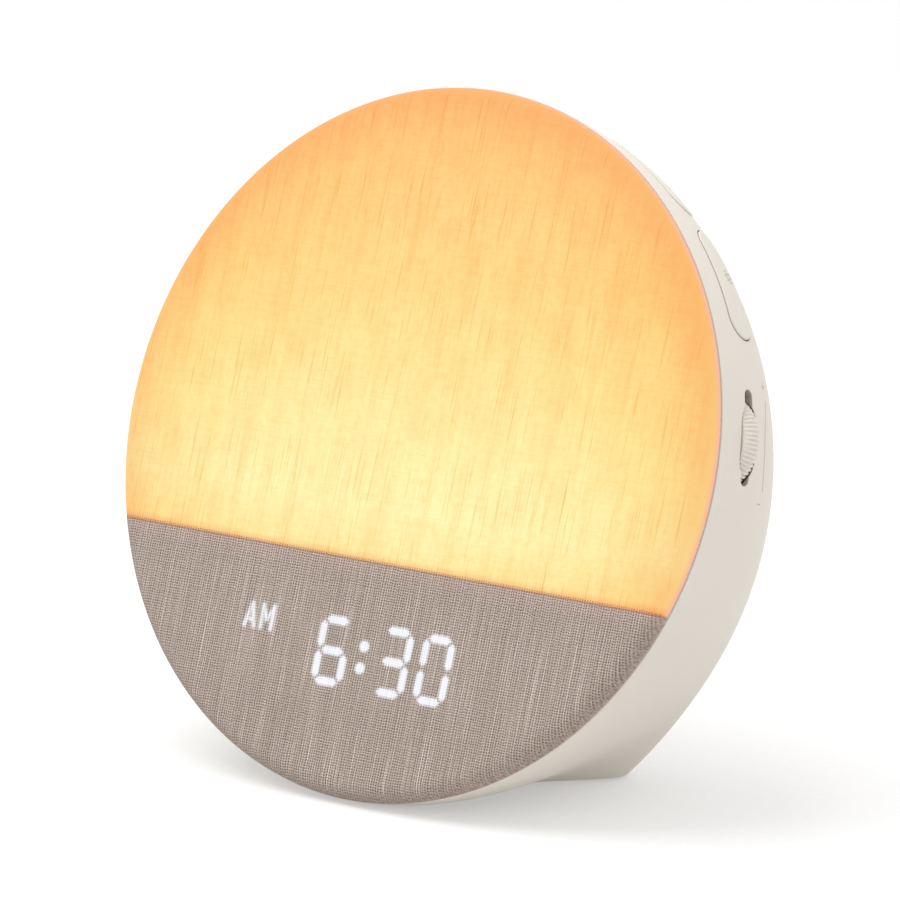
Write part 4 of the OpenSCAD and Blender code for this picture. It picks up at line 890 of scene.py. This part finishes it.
# %% Triangles between the patch and the circle where the rim begins
RIM_SIDES, SPARSE, MARGIN = 360, 12.0, 3
rim_start = circle(FLAT_R, RIM_SIDES)
inner = np.vstack([circle(r, int(r / 1.5)) for r in np.arange(SPARSE, FLAT_R - MARGIN, SPARSE)])
clear = ((inner < PATCH_LOW - MARGIN) | (inner > PATCH_HIGH + MARGIN)).any(1)
flat_points = np.vstack([patch[border], rim_start, inner[clear]])
loops = [np.arange(len(border)), len(border) + np.arange(RIM_SIDES)]
edges = [(int(i), int(j)) for loop_ in loops for i, j in zip(loop_, np.roll(loop_, -1))]
found = delaunay_2d_cdt([Vector(p) for p in flat_points], edges, [], 0, 1e-6)
sparse_points, sparse_faces = np.array([tuple(p) for p in found[0]]), np.array(found[2])
middles = sparse_points[sparse_faces].mean(1)
in_patch = ((middles > PATCH_LOW) & (middles < PATCH_HIGH)).all(1)
sparse_faces = sparse_faces[~in_patch]
print("triangles around the patch:", len(sparse_faces))

# %% Put the front and the rim together and give the sheet its thickness
RIM_STEPS = 8
turn = np.linspace(0, math.acos(SEAM_GAP / RIM_ROUND), RIM_STEPS)
rim = np.array([np.column_stack([circle(FLAT_R + RIM_ROUND * math.sin(a), RIM_SIDES),
                                 np.full(RIM_SIDES, RIM_ROUND * math.cos(a))]) for a in turn])
rim_index = np.arange(RIM_STEPS * RIM_SIDES).reshape(RIM_STEPS, RIM_SIDES)
beside = np.roll(rim_index, -1, 1)
rim_faces = np.stack([rim_index[:-1], rim_index[1:], beside[1:], beside[:-1]], -1).reshape(-1, 4)
front = np.vstack([patch, sparse_points])
front = np.column_stack([front, np.full(len(front), RIM_ROUND)])
cloth_points = place(FACE, np.vstack([front, rim.reshape(-1, 3)]))
cloth_faces = (patch_faces.tolist() + (sparse_faces + len(patch)).tolist()
               + (rim_faces + len(front)).tolist())
cloth = new_piece("woven_face_cover", cloth_points, cloth_faces)
edit = bmesh.new()
edit.from_mesh(cloth.data)
bmesh.ops.remove_doubles(edit, verts=edit.verts, dist=0.001 * MM)
edit.to_mesh(cloth.data)
edit.free()
print("cloth faces:", len(cloth.data.polygons), "open edges only at the seam")

# %% [markdown]
# ## The light of the digits
# Behind the lower field sit white light bars. Seen through the cloth each bar is a small
# lozenge with soft edges and a faint halo, because the threads scatter its light. How
# brightly a point is lit follows from its distance to the nearest bar, so that number is
# worked out once and kept on the mesh as an attribute, which the cloth's material reads.

# %% How bright each point of the sheet is
DIGIT_X = {-11.3: "acdefg", 10.6: "abcdg", 25.2: "abcdef"}
BAR_TOP, BAR_MIDDLE, BAR_LOW, BAR_SIDE = -53.6, -62.4, -71.3, 4.45
BAR_LEN, BAR_WID = 7.7, 2.35
COLON = [(-0.45, -59.5), (-0.45, -65.8)]
DOT_R, LETTER_STROKE = 1.6, 1.35
SOFT, HALO_REACH, HALO, LETTER_LIGHT = 0.75, 1.1, 0.06, 0.78

high, low = (BAR_TOP + BAR_MIDDLE) / 2, (BAR_MIDDLE + BAR_LOW) / 2
BARS = {"a": (0, BAR_TOP, 0), "g": (0, BAR_MIDDLE, 0), "d": (0, BAR_LOW, 0),
        "f": (-BAR_SIDE, high, 1), "b": (BAR_SIDE, high, 1),
        "e": (-BAR_SIDE, low, 1), "c": (BAR_SIDE, low, 1)}
LETTERS = [((-44.0, -59.7), (-42.3, -53.3)), ((-40.6, -59.7), (-42.3, -53.3)),
           ((-43.3, -57.9), (-41.3, -57.9)), ((-38.2, -59.7), (-38.2, -53.3)),
           ((-34.5, -59.7), (-34.5, -53.3)), ((-38.2, -53.8), (-36.35, -57.2)),
           ((-34.5, -53.8), (-36.35, -57.2))]


def bar_distance(points, centre_x, bar):
    """Distance to a lozenge-shaped light bar, below zero inside it."""
    x, y, upright_bar = bar
    near = np.abs(points - (centre_x + x, y))
    along, aside = (near[:, 1], near[:, 0]) if upright_bar else (near[:, 0], near[:, 1])
    return np.maximum(aside - BAR_WID / 2, (along + aside - BAR_LEN / 2) / math.sqrt(2))


def stroke_distance(points, start, end):
    """Distance to a straight stroke with round ends."""
    start, along = np.array(start), np.array(end) - start
    share = np.clip((points - start) @ along / (along @ along), 0, 1)
    return np.linalg.norm(points - start - share[:, None] * along, axis=1) - LETTER_STROKE / 2


sheet_points = (np.array([v.co for v in cloth.data.vertices]) / MM - FACE_CENTRE)
flat_xy = np.column_stack([sheet_points @ FACE_RIGHT, sheet_points @ FACE_UP])
gaps = [bar_distance(flat_xy, x, BARS[bar]) for x, bars in DIGIT_X.items() for bar in bars]
gaps += [np.linalg.norm(flat_xy - dot, axis=1) - DOT_R for dot in COLON]
letter_gaps = [stroke_distance(flat_xy, *stroke) for stroke in LETTERS]
lit = np.zeros(len(flat_xy))
for gap, level in ((np.min(gaps, 0), 1.0), (np.min(letter_gaps, 0), LETTER_LIGHT)):
    ease = np.clip((SOFT - gap) / (2 * SOFT), 0, 1)
    shine = ease ** 2 * (3 - 2 * ease) + HALO * np.exp(-np.maximum(gap, 0) / HALO_REACH)
    lit = np.maximum(lit, level * np.where(gap > 8 * HALO_REACH, 0, np.clip(shine, 0, 1)))
cloth.data.attributes.new("lit", "FLOAT", "POINT").data.foreach_set("value", lit)

thick = cloth.modifiers.new("thickness", "SOLIDIFY")
thick.thickness, thick.offset, thick.use_even_offset = CLOTH_T * MM, -1, True
settle(cloth)
print("cloth faces:", len(cloth.data.polygons), "brightest:", round(float(lit.max()), 2))

# %% [markdown]
# ## Finishes that carry a drawing of their own
# The circuit boards have glossy green solder mask, lighter where a copper track lies under
# it. The acrylic light guide is clear and smooth, with rows of printed white dots, and the
# lamps and the display's bars are milky and give light.

# %% Solder mask, printed acrylic and lamps
def solder_mask(name, colour, track_colour, pitch):
    """Green lacquer with slightly lighter tracks under it, which run in straight rows."""
    material, tree, shader = new_finish(name, Roughness=0.3, Coat_Weight=0.4)
    where = add(tree, "ShaderNodeTexCoord").outputs["Object"]
    tracks = add(tree, "ShaderNodeTexBrick", {
        "Vector": where, "Color1": (0, 0, 0, 1), "Color2": (0.25, 0.25, 0.25, 1),
        "Mortar": (1, 1, 1, 1), "Mortar Size": 0.06, "Scale": 1 / (pitch * MM),
        "Brick Width": 3.0, "Row Height": 1.0})
    ramp = add(tree, "ShaderNodeValToRGB", (tracks,), stops=[
        (0.0, linear(colour)), (1.0, linear(track_colour))])
    bump = add(tree, "ShaderNodeBump", {"Height": tracks.outputs["Fac"], "Distance": 0.03 * MM})
    tree.links.new(ramp.outputs[0], shader.inputs["Base Color"])
    tree.links.new(bump.outputs[0], shader.inputs["Normal"])
    return material


def printed_acrylic(name, pitch):
    """Clear acrylic with small white dots that let the light out."""
    material, tree, shader = new_finish(name, Roughness=0.08, Transmission_Weight=0.6, IOR=1.49)
    where = add(tree, "ShaderNodeTexCoord").outputs["Object"]
    dots = add(tree, "ShaderNodeTexVoronoi", {
        "Vector": where, "Scale": 1 / (pitch * MM), "Randomness": 0.0})
    ramp = add(tree, "ShaderNodeValToRGB", (dots.outputs["Distance"],), stops=[
        (0.28, linear("#ffffff")), (0.34, linear("#e3ecef"))])
    tree.links.new(ramp.outputs[0], shader.inputs["Base Color"])
    return material


def glowing(name, colour, light, strength):
    """A lamp's milky face, a little brighter in its middle cells."""
    material, tree, shader = new_finish(name, Roughness=0.4)
    where = add(tree, "ShaderNodeTexCoord").outputs["Object"]
    cells = add(tree, "ShaderNodeTexNoise", {"Vector": where, "Scale": 1 / (1.5 * MM), "Detail": 2.0})
    ramp = add(tree, "ShaderNodeValToRGB", (cells.outputs["Fac"],), stops=[
        (0.3, tinted(linear(light), 0.8)), (0.7, linear(light))])
    shader.inputs["Base Color"].default_value = linear(colour)
    tree.links.new(ramp.outputs[0], shader.inputs["Emission Color"])
    shader.inputs["Emission Strength"].default_value = strength
    return material


finishes["circuit_board"] = solder_mask("green_solder_mask", "#2f5d3c", "#4c8257", 1.27)
finishes["clear_guide"] = printed_acrylic("printed_clear_acrylic", 2.0)
finishes["lamps"] = glowing("phosphor_lamps", "#f6e7a6", "#ffdcae", 0.6)
finishes["display_light"] = glowing("white_light_bars", "#fffaf0", "#ffffff", 0.6)
print("finishes so far:", len(finishes))

# %% [markdown]
# ## The woven cloth
# The cover is a plain weave of thick and thin linen-like polyester yarn, which reads as
# matt, dry and warm. Every gap between four threads shows as a small dark dot, and yarn
# that is thicker in places makes long pale streaks. The lit upper field shines through
# it: the light is pale yellow near the lamps at the straight line and turns deeper and
# more orange upwards and outwards, and thick yarn shows there as thin dark streaks.
# All of it is worked out on the flat face, in millimetres across and up. The yarn lies
# some 0.6 mm apart; it is drawn about a third coarser, so that single threads show.

# %% Cloth: position on the face
def on_face_mm(tree):
    """Position in millimetres across, up and out of the face, from its middle."""
    back = [0, -FACE_CENTRE[2] * math.cos(FACE_TILT), -FACE_CENTRE[2] * math.sin(FACE_TILT)]
    return add(tree, "ShaderNodeMapping", {
        "Vector": add(tree, "ShaderNodeTexCoord").outputs["Object"], "Location": back,
        "Rotation": (-(math.pi / 2 - FACE_TILT), 0, 0), "Scale": (1 / MM, 1 / MM, 1 / MM)})


cloth_finish, tree, cloth_shader = new_finish("woven_linen_look_polyester", Roughness=0.85)
spot = on_face_mm(tree)
across_mm, up_mm, out_mm = add(tree, "ShaderNodeSeparateXYZ", (spot,)).outputs
flat_spot = add(tree, "ShaderNodeCombineXYZ", (across_mm, up_mm))
radius_mm = add(tree, "ShaderNodeVectorMath", (flat_spot,), operation="LENGTH").outputs["Value"]
print("cloth position nodes:", len(tree.nodes))

# %% Cloth: threads and slubs
THREAD_ACROSS, THREAD_UP = 0.84, 0.76
# Each noise is given by how often it changes per millimetre, across and up the face.
NOISES = {"warp": (2.4, 0.03), "slub": (3.0, 0.025), "weft": (0.06, 1.6), "speck": (2.2, 2.0),
          "streak": (1.6, 0.038), "band": (0.22, 0.012), "cloud": (0.09, 0.07), "grain": (0.5, 0.42),
          "sway_x": (0.25, 0.05), "sway_y": (0.85, 0.12)}
noise = {}
for label, stretch in NOISES.items():
    longer = add(tree, "ShaderNodeMapping", {"Vector": flat_spot, "Scale": (*stretch, 1)})
    noise[label] = add(tree, "ShaderNodeTexNoise", {
        "Vector": longer, "Scale": 1.0, "Detail": 2.0, "Roughness": 0.55}).outputs["Fac"]
THREAD_SWAY = 8.0
waves = []
for along, pitch, sway in ((across_mm, THREAD_ACROSS, "sway_x"), (up_mm, THREAD_UP, "sway_y")):
    count = add(tree, MATH, (along, 2 * math.pi / pitch), operation="MULTIPLY")
    swayed = add(tree, MATH, (noise[sway], THREAD_SWAY, count), operation="MULTIPLY_ADD")
    cosine = add(tree, MATH, (swayed,), operation="COSINE")
    waves.append(add(tree, MATH, (cosine, -0.5, 0.5), operation="MULTIPLY_ADD"))
hole = add(tree, MATH, (waves[0], waves[1]), operation="MULTIPLY")
on_front = add(tree, "ShaderNodeMapRange", {"Value": out_mm, "From Min": 1.5, "From Max": 4.8})
over = add(tree, MATH, (add(tree, MATH, (hole, -2.0, 0.5), operation="MULTIPLY_ADD"), on_front),
           operation="MULTIPLY")
on_flat = add(tree, "ShaderNodeMapRange", {"Value": out_mm, "From Min": 3.0, "From Max": 4.9})
bright_slub = add(tree, "ShaderNodeMapRange", {
    "Value": noise["slub"], "From Min": 0.57, "From Max": 0.68, "To Max": on_flat})
yarn = add(tree, MATH, (over, 0.165, 0.1), operation="MULTIPLY_ADD")
for source, share in ((noise["warp"], 0.2), (noise["speck"], 0.48), (noise["weft"], 0.08),
                      (bright_slub, 0.17)):
    yarn = add(tree, MATH, (source, share, yarn), operation="MULTIPLY_ADD")
cloth_colour = add(tree, "ShaderNodeValToRGB", (yarn,), stops=[
    (0.26, linear("#4f453f")), (0.42, linear("#877970")), (0.50, linear("#a6968b")),
    (0.60, linear("#bbab9f")), (0.76, linear("#dfd4cb"))])
print("cloth nodes with threads:", len(tree.nodes))

# %% Cloth: the sunrise light behind it
# The light's colour by height on the face, and what is left of it by distance from the middle.
GLOW_UP = [(-36, "#dba476"), (-35.3, "#f3b97c"), (-34.7, "#fbd890"), (-33, "#fff3a8"),
           (-20, "#fffebb"), (0, "#fff7ac"), (20, "#ffee9e"), (50, "#ffe18e"), (98, "#ffd88b")]
GLOW_OUT = [(0, (1, 1, 1)), (35, (1, 1, 1)), (70, (1, 0.95, 0.88)), (88, (1, 0.86, 0.72)),
            (98, (0.98, 0.72, 0.56)), (102, (0.97, 0.66, 0.5))]
GLOW_LOW, GLOW_SPAN, SPLIT_DROP = -36.0, 134.0, 35.65
height = add(tree, "ShaderNodeMapRange", {
    "Value": up_mm, "From Min": GLOW_LOW, "From Max": GLOW_LOW + GLOW_SPAN})
sunrise = add(tree, "ShaderNodeValToRGB", (height,), stops=[
    ((w - GLOW_LOW) / GLOW_SPAN, linear(colour)) for w, colour in GLOW_UP])
outer = add(tree, MATH, (radius_mm, FACE_R), operation="DIVIDE")
fading = add(tree, "ShaderNodeValToRGB", (outer,), stops=[
    (r / FACE_R, (*colour, 1.0)) for r, colour in GLOW_OUT])
# What the uneven yarn takes away from the light, from its thickest places to its thin ones.
LAYERS = {"streak": ((0.29, (0.93, 0.75, 0.54)), (0.36, (0.98, 0.91, 0.82)), (0.43, (1, 1, 1))),
          "slub": ((0.3, (0.99, 0.95, 0.9)), (0.45, (1, 0.99, 0.98)), (0.55, (1, 1, 1))),
          "weft": ((0.36, (1, 0.96, 0.92)), (0.56, (1, 1, 1))),
          "band": ((0.34, (1, 0.93, 0.88)), (0.55, (1, 1, 1))),
          "grain": ((0.38, (1, 0.95, 0.9)), (0.55, (1, 1, 1))),
          "cloud": ((0.36, (1, 0.94, 0.9)), (0.6, (1, 1, 1)))}
TIMES = {"data_type": "RGBA", "blend_type": "MULTIPLY"}
glow = add(tree, MIX, {0: 1.0, 6: sunrise, 7: fading}, **TIMES).outputs[2]
for label, stops in LAYERS.items():
    layer = add(tree, "ShaderNodeValToRGB", (noise[label],), stops=[(at, (*c, 1)) for at, c in stops])
    glow = add(tree, MIX, {0: on_flat, 6: glow, 7: layer}, **TIMES).outputs[2]
print("cloth nodes with glow:", len(tree.nodes))

# %% Cloth: straight edge of the light and the rim
EDGE_FUZZ, EDGE_SOFT, PINK_REACH = 0.45, 0.25, 5.0
PINK_FROM, PINK_FULL, DARK_FROM = 2.6, 1.3, 1.1
fuzzy = add(tree, MATH, (over, EDGE_FUZZ, up_mm), operation="MULTIPLY_ADD")
shining = add(tree, "ShaderNodeMapRange", {
    "Value": fuzzy, "From Min": -SPLIT_DROP - EDGE_SOFT, "From Max": -SPLIT_DROP + 2 * EDGE_SOFT})
covered = add(tree, "ShaderNodeMapRange", {
    "Value": fuzzy, "From Min": -SPLIT_DROP - 1.5 * EDGE_SOFT, "From Max": -SPLIT_DROP + EDGE_SOFT})
rim_side = add(tree, "ShaderNodeMapRange", {
    "Value": out_mm, "From Min": PINK_FULL, "From Max": PINK_FROM})
rim_low = add(tree, "ShaderNodeMapRange", {
    "Value": out_mm, "From Min": SEAM_GAP, "From Max": DARK_FROM})
leak = add(tree, "ShaderNodeMapRange", {
    "Value": fuzzy, "From Min": -SPLIT_DROP - PINK_REACH, "From Max": -SPLIT_DROP})
leaked = add(tree, MIX, {0: leak, 6: (0, 0, 0, 1), 7: (0.06, 0.02, 0.02, 1)}, data_type="RGBA")
for share, instead in ((rim_side, linear("#fbbb98")), (shining, leaked.outputs[2]),
                       (rim_low, (0.16, 0.11, 0.1, 1))):
    glow = add(tree, MIX, {0: share, 6: instead, 7: glow}, data_type="RGBA").outputs[2]
print("cloth nodes with edges:", len(tree.nodes))

# %% Cloth: the digits' light and the shader's sockets
THREAD_SHADE = 0.3
lit_value = add(tree, "ShaderNodeAttribute", attribute_name="lit").outputs["Fac"]
combed = add(tree, MATH, (noise["warp"], 2.4, 0.5), operation="MULTIPLY_ADD")
streaked = add(tree, MATH, (lit_value, combed), operation="MULTIPLY")
rough_edge = add(tree, MATH, (over, THREAD_SHADE, streaked), operation="MULTIPLY_ADD")
digit_light = add(tree, "ShaderNodeMapRange", {"Value": rough_edge, "From Min": 0.1, "From Max": 1.55})
light = add(tree, MIX, {0: digit_light, 6: glow, 7: (0.93, 0.95, 1, 1)}, data_type="RGBA").outputs[2]
lit_field = add(tree, MATH, (covered, rim_low), operation="MULTIPLY")
dimming = add(tree, MATH, (lit_field, digit_light), operation="MAXIMUM")
# Painted shade: the cloth's colour turns grey on the last millimetre of the rim before the seam, for the
# shade in the gap to the shell.
painted_seam_shade = add(tree, "ShaderNodeMapRange", {"Value": out_mm, "From Min": 0.45, "From Max": 0.85})
shaded = add(tree, MIX, {0: painted_seam_shade, 6: linear("#938a83"), 7: cloth_colour}, data_type="RGBA")
dimmed = add(tree, MIX, {
    0: dimming, 6: shaded.outputs[2], 7: (0.02, 0.017, 0.013, 1)}, data_type="RGBA")
weave_bump = add(tree, "ShaderNodeBump", {"Height": yarn, "Strength": 0.4, "Distance": 0.08 * MM})
cloth_values = {"Base Color": dimmed.outputs[2], "Emission Color": light, "Normal": weave_bump.outputs[0]}
for socket, value in cloth_values.items():
    tree.links.new(value, cloth_shader.inputs[socket])
cloth_shader.inputs["Emission Strength"].default_value = 0.95
finishes["woven_cover"] = cloth_finish
print("cloth material nodes:", len(tree.nodes))

# %% [markdown]
# ## Give every part its finish
# The imported record names a finish for every part, so one loop dresses all of them. The
# finer meshes of this lesson take the same finishes, stand for the parts that they
# replace, and move with the same bodies. Faces that lie below the skin, in narrow gaps and
# inside the shell, get a duller and darker finish: painted shade, for the shade that falls there.

# %% Finishes for parts and pieces, and what each piece stands for
def dress(piece, finish):
    """Puts one finish on a piece."""
    piece.data.materials.clear()
    piece.data.materials.append(finish)


GAP_DEPTH, GAP_SHADE_ABOVE = 0.3, 25.0


def paint_shade_in_gaps(piece):
    """Gives the faces that lie below the skin a darker finish: painted shade for narrow gaps."""
    piece.data.materials.append(finishes["painted_gap_shade"])
    for face in piece.data.polygons:
        middle = face.center / MM
        on_skin, out = skin_search.find_nearest(middle)[:2]
        if (on_skin - middle).dot(out) > GAP_DEPTH and middle.z > GAP_SHADE_ABOVE:
            face.material_index = 1


for part in frame["record"]["subparts"]:
    dress(nodes[part["node"]], finishes[part["material_slot"]])

stands_for = [
    (shell, "clock", "putty_shell", "rear_shell"),
    (cloth, "clock", "woven_cover", "face_fabric"),
    (grille, "clock", "grille", "speaker_grille"),
    (buttons["lower"], "lower_key", "button_cap", "lower_button"),
    (buttons["upper"], "upper_key", "button_cap", "upper_button"),
    (dials["volume"], "volume_wheel", "dial", "volume_dial"),
    (dials["brightness"], "brightness_wheel", "dial", "brightness_dial")]
ink_films = [(sun_mark, "lower_key", "button_cap"), (scale_mark, "clock", "putty_shell")]
for mark, body, slot_name in ink_films:
    dress(mark, finishes["print"])
    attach(mark, body)
for piece, body, slot_name, node in stands_for:
    dress(piece, finishes[slot_name])
    # Painted shade on the faces of the shell and the caps that lie below the skin.
    if slot_name in ("putty_shell", "button_cap"):
        paint_shade_in_gaps(piece)
    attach(piece, body)
    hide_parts(node)
    piece.data.shade_smooth()
    piece.data.set_sharp_from_angle(angle=math.radians(50 if piece is cloth else 32))
print("pieces:", [piece.name for piece, *_ in stands_for])

# %% [markdown]
# ## Floor and light
# The clock stands on a plain white paper floor in a soft tent of light: a big softbox
# above and to the left, a weaker one behind to the right, and an even glow from all
# sides. Paper is quite matt. The floor shows itself white to the camera and keeps the
# soft shadow where the clock meets it.

# %% Floor
def seen_by_eye(tree):
    """1 for rays that reach the camera straight, by a mirror or through glass, else 0."""
    path = add(tree, "ShaderNodeLightPath").outputs
    either = add(tree, MATH, (path["Is Camera Ray"], path["Is Glossy Ray"]), operation="MAXIMUM")
    return add(tree, MATH, (either, path["Is Transmission Ray"]), operation="MAXIMUM")


FLOOR_HALF = 6000
corners = [(-1, -1, 0), (1, -1, 0), (1, 1, 0), (-1, 1, 0)]
floor = new_piece("white_floor", FLOOR_HALF * np.array(corners), [(0, 1, 2, 3)])
floor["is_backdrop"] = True
floor_finish, tree, floor_shader = new_finish("white_paper_sweep", Roughness=1.0, Specular_IOR_Level=0.0)
fibre = add(tree, "ShaderNodeTexNoise", {
    "Vector": add(tree, "ShaderNodeTexCoord").outputs["Object"], "Scale": 1 / (3 * MM), "Detail": 2.0})
paper = add(tree, "ShaderNodeValToRGB", (fibre.outputs["Fac"],), stops=[
    (0.2, linear("#cfcfcf")), (0.8, linear("#d3d3d3"))])
tree.links.new(paper.outputs[0], floor_shader.inputs["Base Color"])
seen = seen_by_eye(tree)
FLOOR_WHITE, FLOOR_GLOW = 0.33, 0.15
white = add(tree, "ShaderNodeMapRange", {"Value": seen, "To Min": FLOOR_GLOW, "To Max": FLOOR_WHITE})
floor_shader.inputs["Emission Color"].default_value = (1, 1, 1, 1)
tree.links.new(white.outputs[0], floor_shader.inputs["Emission Strength"])
floor.data.materials.append(floor_finish)
print("floor:", 2 * FLOOR_HALF * MM, "m wide")

# %% Softboxes and surroundings
AMBIENT = 0.8
world = bpy.data.worlds.new("light_tent")
world.use_nodes = True
bpy.context.scene.world = world
tree = world.node_tree
tree.nodes.clear()
level = add(tree, "ShaderNodeMapRange", {"Value": seen_by_eye(tree), "To Min": AMBIENT, "To Max": 1.0})
tent = add(tree, "ShaderNodeBackground", {"Color": (1, 1, 1, 1), "Strength": level})
add(tree, "ShaderNodeOutputWorld", (tent,))


def softbox(name, place_m, aim_m, size, energy):
    """A square area light that looks at a point."""
    data = bpy.data.lights.new(name, "AREA")
    data.size, data.energy = size, energy
    lamp = bpy.data.objects.new(name, data)
    bpy.context.scene.collection.objects.link(lamp)
    lamp.location = place_m
    lamp.rotation_euler = (Vector(aim_m) - Vector(place_m)).to_track_quat("-Z", "Y").to_euler()
    return lamp


CLOCK_MIDDLE = (0, 0, 0.1)
softbox("overhead_softbox", (-0.5, -0.35, 1.6), CLOCK_MIDDLE, 1.3, 16.5)
softbox("side_softbox", (1.5, 0.9, 1.5), CLOCK_MIDDLE, 1.6, 6)
bpy.context.scene.view_settings.view_transform = "Standard"
print("ambient:", AMBIENT)

# %% [markdown]
# ## The sizes of both boxes
# The visible model has to stay inside the box of the imported one. The sizes of both
# boxes are printed side by side.

# %% Sizes of both boxes
visual_box = [list(corner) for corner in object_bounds()]
for label, box in {"packed": cad_box, "visible": visual_box}.items():
    print(label, [round((high - low) * 1000, 2) for low, high in zip(*box)])
